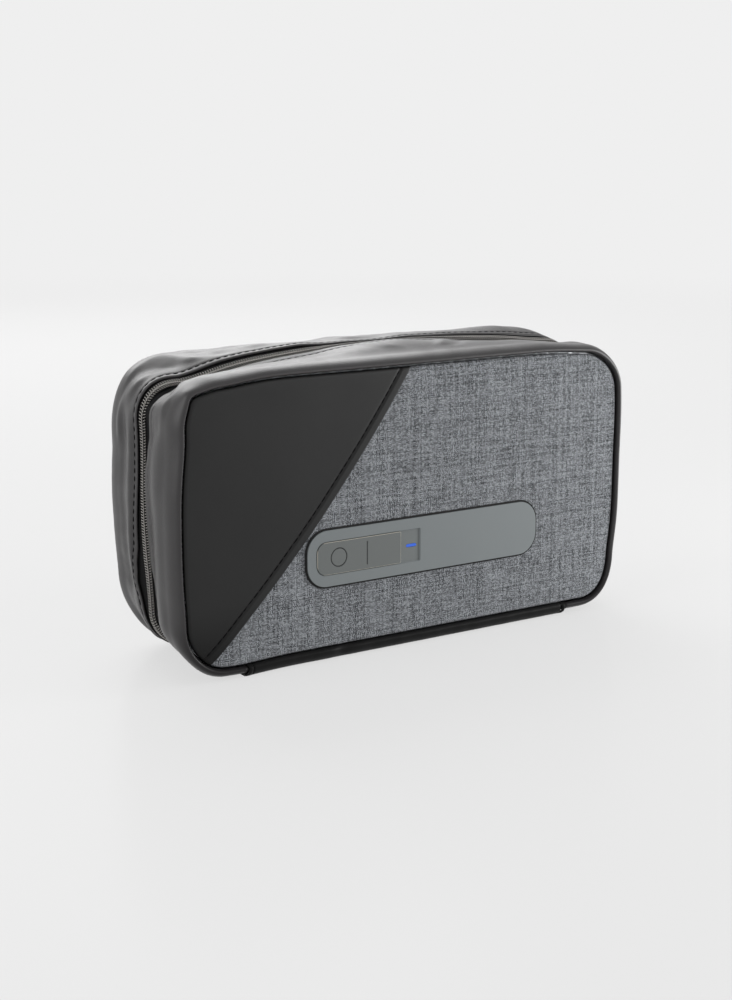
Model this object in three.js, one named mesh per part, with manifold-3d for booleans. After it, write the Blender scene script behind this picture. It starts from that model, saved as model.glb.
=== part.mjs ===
// A zipped ultraviolet sterilizer pouch. Two soft trays meet at a zip that runs over three sides, and the
// front tray carries a slim lamp module with a sliding power knob. Millimetres, +Z up, the front face to -Y.
// The origin is under the middle of the pouch, on the surface that it stands on.

import * as THREE from "three";
import { mergeVertices } from "three/addons/utils/BufferGeometryUtils.js";
import Module from "manifold-3d";

const wasm = await Module();
wasm.setup();

// Driving dimensions of the pouch
const panelWidth = 215; // seam to seam across the front
const panelHeight = 110; // seam to seam up the front
const panelCorner = 17; // corner radius of the front seam and of the zip's path
const rearCorner = 26; // the rear seam turns wider
const pouchDepth = 61; // outer face of the front panel to outer face of the rear panel
const baseDrop = 5.5; // how far the base lies below the lower seam of the panels
const baseLength = 156; // length of the base panel between the two end tabs

// Layers of cloth and board, from the outer face of a panel inwards
const faceCloth = 0.9;
const boardThickness = 2;
const liningThickness = 0.5;
const clothGap = 0.2; // air between two layers of cloth
const seatGap = 0.1; // air between two hard faces that rest on each other
const boardInset = 3.5; // from the seam line to the edge of a stiffener

// Side walls: a strip of coated cloth that rolls over the seam and ends in a lip beside the zip
const gussetWall = 1.2;
const seamGap = 0.3; // gap in the seam between a panel's edge and the roll
const rollProud = 1.3; // how far the roll stands in front of its panel
const rollCrest = 1.4; // from the seam line out to the crest of the roll
const frontRollReach = 4.4; // how far the front roll stands out past the seam line
const frontRollLength = 4.5; // from the crest of the roll to where it has turned into the wall
const rearRollReach = 3.8;
const rearRollLength = 7;
const rearTopReach = 6.6; // the rear roll rises over the middle of the top
const bellyRise = 1.7; // slack of the cloth half way to the lip
const tautShare = 0.5; // how much of that slack the arch over the top takes up
const sideLip = 2.4; // how far the lip stands out past the seam line along the sides
const topLip = 7.6; // the lips arch up over the middle of the top
const topLeftLip = -1.4;
const topRightLip = 3;
const bottomLip = -1;
const lipHalfGap = 3.9; // from the zip's middle to the edge of each lip

// Zip
const tapeThickness = 0.5;
const tapeCover = 7.5; // width of tape sewn under the lip
const tapeHalfGap = 1; // from the zip's middle to the edge of each tape
const coilHeight = 1.2;
const coilBevel = 0.35;
const chainWidth = 4.6; // both coils together
const chainGap = 1.1; // room between the two coils for the slider's post
const stopLength = 2.4;
const stopProud = 0.3; // how far an end stop stands out past the coil
const tabWidth = 2; // folded end tabs beside the base
const tabProud = 0.5; // how far their front and rear stand out past the base's rolls

// Slider and its pull
const sliderLength = 8.5;
const sliderWidth = 6.6;
const sliderCorner = 1.6;
const sliderPlate = 0.8;
const sliderGap = 0.2; // running clearance to tape and coils
const postThickness = 0.4;
const postLength = 3;
const postInset = 0.6; // from the slider's upper end to its post
const sliderParkHeight = 34; // above the lower seam, where the pull hangs clear
const bridgeWidth = 2.2;
const bridgeLength = 6.4;
const bridgeLeg = 1;
const bridgeBar = 0.55;
const pullBarDiameter = 0.8;
const pullBarGap = 0.2;
const pullThickness = 0.8;
const pullWidth = 5.4;
const pullLength = 20; // from its cross bar to its tip
const pullArm = 1.1;
const pullThroat = 4.2; // from the cross bar to the plate
const pullTipRadius = 1.6;

// Coated corner patch on the front panel, as shares of the panel's width and height from its lower left
const patchTopShare = 0.487;
const patchBendShares = { x: 0.271, z: 0.383 };
const patchFootShare = 0.0377;
const patchThickness = 0.4;

// Lamp module: the strip that shows on the front panel
const stripLength = 116.4;
const stripHeight = 22.7;
const stripCorner = 9;
const stripOffset = 5.2; // middle of the strip, right of the pouch's middle
const stripRise = 36.6; // middle of the strip above the lower seam
const stripProud = 1.2; // face of the strip in front of the panel
const stripFlange = 0.7;
const gasketRim = 0.6; // gasket that shows round the strip
const bezelInset = 3.3; // from the strip's ends to the body behind it
const bezelWall = 1.6;
const bezelFloor = 1.3;
const bezelDepth = 7; // back edge of the body behind the panel's face
const slotGap = 0.3; // gap round the body in the panel's layers

// Power knob, its clip and the switch behind it
const knobLength = 40.1;
const knobHeight = 13.1;
const knobInset = 5.2; // from the strip's left end
const knobCorner = 4.2;
const knobNose = 0.6; // corner radius of the knob's right end
const knobThickness = 1.9;
const knobProud = 0.2; // face of the knob in front of the strip
const knobGap = 0.3;
const knobTravel = 9.6;
const markRingRadius = 3.7;
const markRingInset = 10.2; // ring's middle from the knob's left end
const markBarInset = 23.8; // bar from the knob's left end
const markBarHeight = 9.6;
const markWidth = 0.45;
const markDepth = 0.3;
const stemLength = 6;
const stemHeight = 4;
const stemReach = 3.9; // stem behind the knob's plate
const clipLength = 10;
const clipHeight = 8;
const clipThickness = 0.9;
const leverSize = 2;
const leverPocket = 1.2; // how deep the lever sits in the stem
const switchHeight = 5.4;
const switchDepth = 3.4;
const switchWall = 1.3;
const switchSlotDepth = 2.2;

// Indicator at the right end of the knob's pocket
const lampLength = 5.1;
const lampHeight = 1.4;
const lampInset = 4.9; // its middle from the pocket's right end
const lampFlange = 1.1; // rim round the light pipe behind the floor
const lampFlangeThickness = 0.8;
const lampGap = 0.15;
const lampEndGap = 0.3;
const indicatorLength = 3.2;
const indicatorHeight = 1.6;
const indicatorDepth = 1.1;

// Case inside the pouch
const caseMargin = 5.5; // case beyond the strip's body, all round
const caseCorner = 9;
const caseWall = 1.8;
const caseBack = 16.8; // rear face of the case behind the panel's face
const bossDiameter = 4.6;
const bossInset = 3.3; // boss's middle from the end of the strip's cavity
const bossRise = 4.2; // boss's middle above and below the strip's middle
const columnDiameter = 5.4;
const screwDiameter = 2;
const screwHole = 2.4;
const screwHeadDiameter = 3.8;
const screwHeadHeight = 1.3;
const screwHeadGap = 0.2;
const screwHeadSink = 0.3;
const screwLength = 12;
const screwEndGap = 0.4;
const recessDiameter = 1.6;
const recessDepth = 0.7;

// Circuit board and what is on it
const boardPlane = 9.6; // front face of the circuit board behind the panel's face
const circuitThickness = 1.2;
const circuitGap = 0.5;
const supportDiameter = 3;
const supportInset = 4;
const lampSpacingShare = 0.3; // from lamp to lamp, as a share of the way between the screws at both ends
const ledSize = 3.5;
const ledDepth = 1.4;
const windowDiameter = 9;
const windowThickness = 1;
const windowHole = 7;
const windowGap = 0.15;
const sensorLength = 3;
const sensorHeight = 2;
const sensorDepth = 1;
const sensorDrop = 7; // sensor's middle below the strip's middle
const sensorHole = 2.4;
const sensorGap = 1; // from the sensor to the charging socket on its right
const chipSize = 5;
const chipDepth = 1;
const chipGap = 3.75; // from the chip to the lamp on its right
const cellHeight = 12.4;
const cellThickness = 7.2;
const cellCorner = 1.5;
const cellGap = 1; // from the wall of the knob's pocket to the cell
const cellEndGap = 6.4; // from the cell to the screw bosses on its right
const cellSeat = 0.3; // from the strip's floor to the cell
const padInset = 2; // from the cell's edges to the foam pad behind it
const portWidth = 9;
const portHeight = 3.2;
const portLength = 7.4;
const portWall = 0.35;
const portDepth = 6;
const portTongueWidth = 6.6;
const portTongueThickness = 0.7;
const portTongueInset = 0.9; // tongue behind the mouth
const portGap = 0.3;

// Steps of the round stretches, and small lengths that only the making of the solids needs
const cornerSteps = 6;
const topSteps = 12;
const rollSteps = 4;
const bellySteps = 4;
const smallRoundSteps = 12;
const overrun = 1; // how far a cutter runs past what it cuts
const mergeDistance = 0.0005;

const FRONT = -1;
const REAR = 1;
const LEFT = -1;
const RIGHT = 1;

/** Bounds in X and Z about a middle, and the same bounds grown on every side. */
const boundsAt = (x, z, width, height) => ({
  left: x - width / 2,
  right: x + width / 2,
  foot: z - height / 2,
  head: z + height / 2,
});
const grown = (bounds, by) => ({
  left: bounds.left - by,
  right: bounds.right + by,
  foot: bounds.foot - by,
  head: bounds.head + by,
});

// Places that follow from the sizes above. A depth is measured inwards from the outer face of a panel.
const halfWidth = panelWidth / 2;
const halfDepth = pouchDepth / 2;
const seamFoot = baseDrop;
const seamHead = seamFoot + panelHeight;
const boardDepth = faceCloth + clothGap;
const liningDepth = boardDepth + boardThickness + clothGap;
const liningBack = liningDepth + liningThickness;
const lipDepth = halfDepth - lipHalfGap;
const tapeStart = lipDepth - tapeCover;
const tapeEnd = halfDepth - tapeHalfGap;
const tapeDrop = gussetWall + clothGap; // from the face of the lip to the face of the tape
const endX = baseLength / 2 + seamGap + tabWidth + seamGap; // where the side walls end beside the tabs
const panel = boundsAt(0, seamFoot + panelHeight / 2, panelWidth, panelHeight);

const stripX = stripOffset;
const stripZ = seamFoot + stripRise;
const strip = boundsAt(stripX, stripZ, stripLength, stripHeight);
const bezelBody = grown(strip, -bezelInset);
const bezelCavity = grown(bezelBody, -bezelWall);
const floorBack = bezelFloor - stripProud;
const gasketFront = stripFlange - stripProud + seatGap;

const knobLeft = strip.left + knobInset;
const knob = boundsAt(knobLeft + knobLength / 2, stripZ, knobLength, knobHeight);
const knobFront = -stripProud - knobProud;
const knobBack = knobFront + knobThickness;
const pocket = { ...grown(knob, knobGap), right: knob.right + knobTravel + knobGap };
const pocketFloor = knobBack + seatGap;
const pocketBack = pocketFloor + bezelFloor;
const stemX = (knob.left + knob.right) / 2;
const stem = boundsAt(stemX, stripZ, stemLength, stemHeight);
const stemEnd = knobBack + stemReach;
const lever = boundsAt(stemX, stripZ, leverSize, leverSize);
const lampX = pocket.right - lampInset;
const lamp = boundsAt(lampX, stripZ, lampLength, lampHeight);

const caseOuter = grown(bezelBody, caseMargin);
const caseInner = grown(caseOuter, -caseWall);
const caseFront = liningBack + seatGap;
const caseFloor = caseBack - caseWall;
const circuit = grown(caseInner, -circuitGap);
const circuitFace = boardPlane - seatGap; // what stands on the front of the circuit board ends here
const circuitBack = boardPlane + circuitThickness;
const circuitRear = circuitBack + seatGap; // and what stands on its back starts here
const headFront = caseBack - screwHeadSink - screwHeadHeight;
const screwEnds = [bezelCavity.left + bossInset, bezelCavity.right - bossInset];
const screwPlaces = screwEnds.flatMap((x) => [-1, 1].map((up) => ({ x, z: stripZ + up * bossRise })));
const lampSpacing = (screwEnds[1] - screwEnds[0]) * lampSpacingShare;
const lampPlaces = [-lampSpacing, 0, lampSpacing].map((offset) => stripX + offset);
const sensorPlace = { x: stripX + lampSpacing / 2, z: stripZ - sensorDrop };
const portX = sensorPlace.x + sensorLength / 2 + sensorGap + portWidth / 2;
const port = boundsAt(portX, caseOuter.foot + portLength / 2, portWidth, portLength);

const coilBase = tapeDrop - seatGap; // from the face of the lip down to the foot of the coil
const slider = {
  z: seamFoot + sliderParkHeight,
  innerFace: halfWidth + sideLip - tapeDrop - tapeThickness - sliderGap,
  outerFace: halfWidth + sideLip - coilBase + coilHeight + sliderGap,
};
const sliderTop = slider.outerFace + sliderPlate;
const pullBarX = sliderTop + pullBarGap + pullBarDiameter / 2;
const bridgeInside = sliderTop + pullBarDiameter + 2 * pullBarGap;

const front = { half: FRONT, reach: frontRollReach, topReach: frontRollReach, length: frontRollLength };
const rear = { half: REAR, reach: rearRollReach, topReach: rearTopReach, length: rearRollLength };

const materials = {
  melange: { color: "#767980", roughness: 0.9, metalness: 0 },
  coated: { color: "#303031", roughness: 0.5, metalness: 0 },
  board: { color: "#5a5c5f", roughness: 0.95, metalness: 0 },
  lining: { color: "#b9bcbf", roughness: 0.35, metalness: 0.6 },
  tape: { color: "#2a2a2b", roughness: 0.9, metalness: 0 },
  coil: { color: "#6f6b67", roughness: 0.4, metalness: 0 },
  sliderMetal: { color: "#4a4b4d", roughness: 0.35, metalness: 0.9 },
  strip: { color: "#81878a", roughness: 0.5, metalness: 0 },
  knob: { color: "#686c6b", roughness: 0.55, metalness: 0 },
  rubber: { color: "#161616", roughness: 0.85, metalness: 0 },
  casing: { color: "#d5d7d8", roughness: 0.45, metalness: 0 },
  lightPipe: { color: "#3f66d6", roughness: 0.3, metalness: 0 },
  circuit: { color: "#1d5a38", roughness: 0.5, metalness: 0 },
  component: { color: "#1b1c1e", roughness: 0.5, metalness: 0 },
  ceramic: { color: "#e8e4cf", roughness: 0.4, metalness: 0 },
  quartz: { color: "#cfd8ee", roughness: 0.05, metalness: 0 },
  steel: { color: "#b8babd", roughness: 0.3, metalness: 1 },
  cell: { color: "#9aa0a6", roughness: 0.35, metalness: 0.5 },
};

const mix = (a, b, share) => a + (b - a) * share;
const ease = (share) => share * share * (3 - 2 * share);
const clamp = (share) => Math.min(1, Math.max(0, share));

/** Row Y of a depth measured inwards from the outer face of the front or the rear panel. */
const rowY = (half, depth) => half * (halfDepth - depth);

/** A closed solid for joining and cutting, from any closed three.js geometry. */
function toSolid(geometry) {
  const loose = geometry.index ? geometry.toNonIndexed() : geometry;
  const bare = new THREE.BufferGeometry().setAttribute("position", loose.getAttribute("position"));
  const merged = mergeVertices(bare, mergeDistance);
  return new wasm.Manifold(
    new wasm.Mesh({
      numProp: 3,
      vertProperties: new Float32Array(merged.getAttribute("position").array),
      triVerts: new Uint32Array(merged.index.array),
    }),
  );
}

/** The three.js geometry of a joined or cut solid. */
function toGeometry(solid) {
  const mesh = solid.getMesh();
  const positions = new Float32Array(mesh.numVert * 3);
  for (let i = 0; i < mesh.numVert; i += 1) {
    positions.set(mesh.vertProperties.subarray(i * mesh.numProp, i * mesh.numProp + 3), i * 3);
  }
  return new THREE.BufferGeometry()
    .setAttribute("position", new THREE.BufferAttribute(positions, 3))
    .setIndex(new THREE.BufferAttribute(new Uint32Array(mesh.triVerts), 1));
}

const joined = (...geometries) => geometries.map(toSolid).reduce((sum, solid) => sum.add(solid));
const cut = (solid, ...cutters) => cutters.map(toSolid).reduce((rest, tool) => rest.subtract(tool), solid);

/** A rectangle with round corners in the X and Z plane. Its right corners may have their own radius. */
function roundedOutline(bounds, radius, rightRadius = radius) {
  const { left, right, foot, head } = bounds;
  const quarter = Math.PI / 2;
  const shape = new THREE.Shape();
  shape.absarc(right - rightRadius, foot + rightRadius, rightRadius, -quarter, 0);
  shape.absarc(right - rightRadius, head - rightRadius, rightRadius, 0, quarter);
  shape.absarc(left + radius, head - radius, radius, quarter, 2 * quarter);
  shape.absarc(left + radius, foot + radius, radius, 2 * quarter, 3 * quarter);
  shape.closePath();
  return shape;
}

/** A plate whose outline lies in X and Z, between two depths behind the front or the rear panel's face. */
function plate(outline, half, depthFrom, depthTo) {
  const ends = [rowY(half, depthFrom), rowY(half, depthTo)];
  const far = Math.max(...ends);
  const options = { depth: far - Math.min(...ends), bevelEnabled: false, curveSegments: cornerSteps / 2 };
  return new THREE.ExtrudeGeometry(outline, options).rotateX(Math.PI / 2).translate(0, far, 0);
}

/** A plate whose outline lies in Y and Z, between two places in X. */
function sidePlate(outline, fromX, toX) {
  const options = { depth: toX - fromX, bevelEnabled: false, curveSegments: cornerSteps / 2 };
  const [alongY, alongZ, alongX] = [
    new THREE.Vector3(0, 1, 0),
    new THREE.Vector3(0, 0, 1),
    new THREE.Vector3(1, 0, 0),
  ];
  return new THREE.ExtrudeGeometry(outline, options)
    .applyMatrix4(new THREE.Matrix4().makeBasis(alongY, alongZ, alongX))
    .translate(fromX, 0, 0);
}

/** A block with bounds in X and Z, between two depths behind the front panel's face. */
function block({ left, right, foot, head }, depthFrom, depthTo) {
  return new THREE.BoxGeometry(right - left, depthTo - depthFrom, head - foot).translate(
    (left + right) / 2,
    rowY(FRONT, (depthFrom + depthTo) / 2),
    (foot + head) / 2,
  );
}

/** A round bar that runs in depth, between two depths behind the front panel's face. */
function rod({ x, z }, diameter, depthFrom, depthTo) {
  const [radius, length] = [diameter / 2, depthTo - depthFrom];
  const bar = new THREE.CylinderGeometry(radius, radius, length, smallRoundSteps);
  return bar.translate(x, rowY(FRONT, (depthFrom + depthTo) / 2), z);
}

/**
 * A band along stops of the seam line. For each stop, the section gives a closed outline of points: how far
 * each is out past the seam line, its row Y, and its share of the way to the rear seam line.
 */
function bandAlong(stops, section) {
  const outlines = stops.map(section);
  const flat = (outline) => outline.map(([out, y]) => new THREE.Vector2(out, y));
  if (THREE.ShapeUtils.isClockWise(flat(outlines[0]))) outlines.forEach((outline) => outline.reverse());
  const count = outlines[0].length;
  const positions = [];
  stops.forEach((stop, i) =>
    outlines[i].forEach(([out, y, rearShare]) => {
      const x = mix(stop.x, stop.rearX, rearShare);
      const z = mix(stop.z, stop.rearZ, rearShare);
      positions.push(x + stop.outX * out, y, z + stop.outZ * out);
    }),
  );
  const corner = (i) => new THREE.Vector3(...positions.slice(3 * i, 3 * i + 3));
  const span = (i, j) => corner(i).distanceTo(corner(j));
  const index = [];
  for (let i = 0; i + 1 < stops.length; i += 1) {
    for (let j = 0; j < count; j += 1) {
      const [a, b] = [i * count + j, i * count + ((j + 1) % count)];
      const [c, d] = [a + count, b + count];
      if (span(a, d) < span(b, c)) index.push(a, c, d, a, d, b);
      else index.push(a, c, b, b, c, d);
    }
  }
  const last = (stops.length - 1) * count;
  THREE.ShapeUtils.triangulateShape(flat(outlines[0]), []).forEach(([a, b, c]) => index.push(a, b, c));
  THREE.ShapeUtils.triangulateShape(flat(outlines[stops.length - 1]), []).forEach(([a, b, c]) =>
    index.push(last + c, last + b, last + a),
  );
  return new THREE.BufferGeometry()
    .setAttribute("position", new THREE.BufferAttribute(new Float32Array(positions), 3))
    .setIndex(index);
}

/** Stops from beside the left end tab, up the left side, over the top and down to the right end tab. */
function threeSides(fromX) {
  const stops = [];
  const turn = (side, middleZ, rearMiddleZ, fromAngle, fromLip, toLip) => {
    for (let k = 0; k <= cornerSteps; k += 1) {
      const angle = fromAngle - (Math.PI / 2) * (k / cornerSteps);
      const [outX, outZ] = [Math.cos(angle), Math.sin(angle)];
      stops.push({
        x: side * (halfWidth - panelCorner) + panelCorner * outX,
        z: middleZ + panelCorner * outZ,
        rearX: side * (halfWidth - rearCorner) + rearCorner * outX,
        rearZ: rearMiddleZ + rearCorner * outZ,
        outX,
        outZ,
        arch: 0,
        lip: mix(fromLip, toLip, ease(k / cornerSteps)),
      });
    }
  };
  const low = [seamFoot + panelCorner, seamFoot + rearCorner];
  const high = [seamHead - panelCorner, seamHead - rearCorner];
  const end = bottomStop(fromX);
  stops.push({ ...end, x: -fromX, rearX: -fromX });
  turn(LEFT, ...low, -Math.PI / 2, bottomLip, sideLip);
  turn(LEFT, ...high, -Math.PI, sideLip, topLeftLip);
  for (let k = 1; k < topSteps; k += 1) {
    const share = k / topSteps;
    const arch = Math.sin(Math.PI * share);
    stops.push({
      x: (2 * share - 1) * (halfWidth - panelCorner),
      z: seamHead,
      rearX: (2 * share - 1) * (halfWidth - rearCorner),
      rearZ: seamHead,
      outX: 0,
      outZ: 1,
      arch,
      lip: mix(mix(topLeftLip, topRightLip, share), topLip, arch),
    });
  }
  turn(RIGHT, ...high, Math.PI / 2, topRightLip, sideLip);
  turn(RIGHT, ...low, 0, sideLip, bottomLip);
  stops.push(end);
  return stops;
}

/** A stop on the lower seam line. */
const bottomStop = (x) => ({
  x,
  z: seamFoot,
  rearX: x,
  rearZ: seamFoot,
  outX: 0,
  outZ: -1,
  arch: 0,
  lip: bottomLip,
});

/** Points of distance out and depth, turned into points of a section, with the two faces closed. */
function closedSection(roll, outer, inner) {
  const rollEnd = roll.length - rollProud;
  const rearShare = (depth) => (roll.half === REAR ? clamp((lipDepth - depth) / (lipDepth - rollEnd)) : 0);
  return [...outer, ...inner.reverse()].map(([out, depth]) => [
    out,
    rowY(roll.half, depth),
    rearShare(depth),
  ]);
}

/** The curve of a roll from its seam end round to the wall, on a layer that lies an inset below its face. */
function rollCurve(roll, reach, inset, startOut, proud = rollProud) {
  const across = reach - rollCrest - inset;
  const along = roll.length + proud - rollProud - inset;
  const startAngle = Math.acos((startOut - rollCrest) / across);
  const points = [];
  for (let k = 0; k <= rollSteps; k += 1) {
    const angle = startAngle * (1 - k / rollSteps);
    const depth = roll.length - rollProud - along * Math.sin(angle);
    points.push([rollCrest + across * Math.cos(angle), depth]);
  }
  return points;
}

/** Depths of the wall's folds, from the end of its roll to its lip. */
function foldDepths(roll) {
  const rollEnd = roll.length - rollProud;
  return Array.from({ length: bellySteps + 1 }, (_, k) => mix(rollEnd, lipDepth, k / bellySteps));
}

/** How far the wall's outer face stands out past the seam line at a depth between its roll and its lip. */
function wallOut(roll, stop, depth) {
  const folds = foldDepths(roll);
  const reach = mix(roll.reach, roll.topReach, stop.arch);
  const belly = 4 * bellyRise * (1 - tautShare * stop.arch);
  const slack = (share) => mix(reach, stop.lip, share) + belly * share * (1 - share);
  const along = Math.min(1, (depth - folds[0]) / (lipDepth - folds[0])) * bellySteps;
  const k = Math.min(bellySteps - 1, Math.max(0, Math.floor(along)));
  return mix(slack(k / bellySteps), slack((k + 1) / bellySteps), along - k);
}

/** Depths between two ends, with the wall's own folds among them. */
function depthsAlong(roll, from, to) {
  const between = foldDepths(roll).filter((depth) => depth > from + clothGap && depth < to - clothGap);
  return [from, ...between, to];
}

/** Two faces of a layer of the wall at the given depths, an inset below the wall's face. */
function layerSection(roll, stop, depths, inset, thickness) {
  const face = depths.map((depth) => [wallOut(roll, stop, depth) - inset, depth]);
  return closedSection(roll, face, face.map(([out, depth]) => [out - thickness, depth]));
}

function gussetSection(roll, stop) {
  const reach = mix(roll.reach, roll.topReach, stop.arch);
  const outer = rollCurve(roll, reach, 0, 0);
  const inner = [[0, faceCloth], ...rollCurve(roll, reach, gussetWall, rollCrest)];
  foldDepths(roll)
    .slice(1)
    .forEach((depth) => {
      const out = wallOut(roll, stop, depth);
      outer.push([out, depth]);
      inner.push([out - gussetWall, depth]);
    });
  return closedSection(roll, outer, inner);
}

function coilSection(roll, stop) {
  const foot = stop.lip - coilBase;
  const [far, near] = [halfDepth - chainWidth / 2, halfDepth - chainGap / 2];
  const outer = [
    [foot, far],
    [foot + coilHeight - coilBevel, far],
    [foot + coilHeight, far + coilBevel],
    [foot + coilHeight, near - coilBevel],
    [foot + coilHeight - coilBevel, near],
    [foot, near],
  ];
  return closedSection(roll, outer, []);
}

const gusset = (roll) => bandAlong(threeSides(endX), (stop) => gussetSection(roll, stop));

function sideLining(roll) {
  const depths = depthsAlong(roll, liningBack + clothGap, tapeStart - clothGap);
  const inset = gussetWall + clothGap;
  return bandAlong(threeSides(endX), (stop) => layerSection(roll, stop, depths, inset, liningThickness));
}

function zipTape(roll) {
  const depths = [...depthsAlong(roll, tapeStart, lipDepth), tapeEnd];
  return bandAlong(threeSides(endX), (stop) => layerSection(roll, stop, depths, tapeDrop, tapeThickness));
}

function zipCoil(roll) {
  return bandAlong(threeSides(endX + stopLength + seatGap), (stop) => coilSection(roll, stop));
}

function zipStop(roll, side) {
  const ends = [endX, endX + stopLength].map((x) => side * x).sort((a, b) => b - a);
  return bandAlong(ends.map(bottomStop), (stop) => {
    const foot = stop.lip - coilBase;
    const top = foot + coilHeight + stopProud;
    const [far, near] = [halfDepth - chainWidth / 2 - stopProud, halfDepth - chainGap / 2];
    return closedSection(roll, [[foot, far], [top, far], [top, near], [foot, near]], []);
  });
}

/** The base runs under both trays as one channel, from the front panel's seam to the rear panel's seam. */
function channel(fromX, toX, proud) {
  return bandAlong([bottomStop(toX), bottomStop(fromX)], () => {
    const faces = [front, rear].map((roll) => ({
      outer: rollCurve(roll, baseDrop, 0, seamGap, proud),
      inner: [[seamGap, faceCloth], ...rollCurve(roll, baseDrop, gussetWall, rollCrest)],
    }));
    const row = (points, half) => points.map(([out, depth]) => [out, rowY(half, depth), 0]);
    return [
      ...row(faces[0].outer, FRONT),
      ...row(faces[1].outer.reverse(), REAR),
      ...row(faces[1].inner, REAR),
      ...row(faces[0].inner.reverse(), FRONT),
    ];
  });
}

/** A flat layer on the base, between a height and that height plus its thickness. */
function baseLayer(lengthInset, depthInset, foot, thickness) {
  const right = baseLength / 2 - lengthInset;
  return block({ left: -right, right, foot, head: foot + thickness }, depthInset, pouchDepth - depthInset);
}

const baseBoardFoot = gussetWall + clothGap;
const baseLiningFoot = baseBoardFoot + boardThickness + clothGap;

const moduleSlot = (depthFrom, depthTo) =>
  plate(roundedOutline(grown(bezelBody, slotGap), stripCorner - bezelInset), FRONT, depthFrom, depthTo);

/** A layer of the front or the rear panel. The front one has the slot of the lamp module. */
function panelLayer(half, outline, depthFrom, depthTo) {
  const layer = toSolid(plate(outline, half, depthFrom, depthTo));
  if (half === REAR) return toGeometry(layer);
  return toGeometry(cut(layer, moduleSlot(depthFrom - overrun, depthTo + overrun)));
}

const seamCorner = (half) => (half === FRONT ? panelCorner : rearCorner);

const panelOutline = (half, inset) => roundedOutline(grown(panel, -inset), seamCorner(half) - inset);

/** The lining of a panel runs out under the rolls, but not below the lower seam, where the lid turns. */
function liningOutline(roll) {
  const reach = roll.reach - gussetWall - 2 * clothGap;
  const bounds = { ...grown(panel, reach), foot: panel.foot + seamGap };
  return roundedOutline(bounds, seamCorner(roll.half) + reach);
}

const panelCloth = (half) => panelLayer(half, panelOutline(half, seamGap), 0, faceCloth);
const panelBoard = (half) =>
  panelLayer(half, panelOutline(half, boardInset), boardDepth, boardDepth + boardThickness);
const panelLining = (roll) => panelLayer(roll.half, liningOutline(roll), liningDepth, liningBack);

/** The coated patch covers the panel's upper left, down to a curved diagonal edge. */
function cornerPatch() {
  const outline = new THREE.Shape();
  const footX = panel.left + panelWidth * patchFootShare;
  const topX = panel.left + panelWidth * patchTopShare;
  const bendX = panel.left + panelWidth * patchBendShares.x;
  const bendZ = panel.foot + panelHeight * patchBendShares.z;
  outline.moveTo(topX, panel.head + overrun);
  outline.lineTo(panel.left - overrun, panel.head + overrun);
  outline.lineTo(panel.left - overrun, panel.foot - overrun);
  outline.lineTo(footX, panel.foot - overrun);
  outline.quadraticCurveTo(bendX, bendZ, topX, panel.head + overrun);
  const [face, back] = [-seatGap - patchThickness, -seatGap];
  const whole = toSolid(plate(panelOutline(FRONT, seamGap), FRONT, face, back));
  const side = toSolid(plate(outline, FRONT, face - overrun, back + overrun));
  const clearOfGasket = roundedOutline(grown(strip, gasketRim + slotGap), stripCorner + gasketRim);
  return toGeometry(cut(whole.intersect(side), plate(clearOfGasket, FRONT, face - overrun, back + overrun)));
}

/** The strip, its body behind the panel, the knob's pocket and four screw bosses, as one moulding. */
function controlStrip() {
  const pocketBlock = roundedOutline(grown(pocket, bezelFloor), knobCorner + bezelFloor, knobNose);
  const shell = cut(
    joined(
      plate(roundedOutline(strip, stripCorner), FRONT, -stripProud, stripFlange - stripProud),
      plate(roundedOutline(bezelBody, stripCorner - bezelInset), FRONT, -stripProud, bezelDepth),
    ),
    plate(
      roundedOutline(bezelCavity, stripCorner - bezelInset - bezelWall),
      FRONT,
      floorBack,
      bezelDepth + overrun,
    ),
  );
  const bossFoot = floorBack - bezelFloor / 2;
  const bosses = screwPlaces.map((place) => rod(place, bossDiameter, bossFoot, bezelDepth));
  const full = shell.add(joined(plate(pocketBlock, FRONT, bossFoot, pocketBack), ...bosses));
  const slot = { ...grown(stem, knobGap), right: stem.right + knobTravel + knobGap };
  const lampHole = roundedOutline(grown(lamp, lampGap), lampHeight / 2 + lampGap);
  const pilots = screwPlaces.map((place) =>
    rod(
      place,
      screwDiameter + 2 * seatGap,
      headFront - screwLength - screwEndGap,
      bezelDepth + overrun,
    ),
  );
  return toGeometry(
    cut(
      full,
      plate(
        roundedOutline(pocket, knobCorner + knobGap, knobNose),
        FRONT,
        -stripProud - overrun,
        pocketFloor,
      ),
      block(slot, pocketFloor - overrun, pocketBack + overrun),
      plate(lampHole, FRONT, pocketFloor - overrun, pocketBack + overrun),
      ...pilots,
    ),
  );
}

function stripGasket() {
  const ring = roundedOutline(grown(strip, gasketRim), stripCorner + gasketRim);
  const hole = roundedOutline(grown(bezelBody, seatGap), stripCorner - bezelInset);
  const solid = toSolid(plate(ring, FRONT, gasketFront, -seatGap));
  return toGeometry(cut(solid, plate(hole, FRONT, gasketFront - overrun, overrun)));
}

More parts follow.
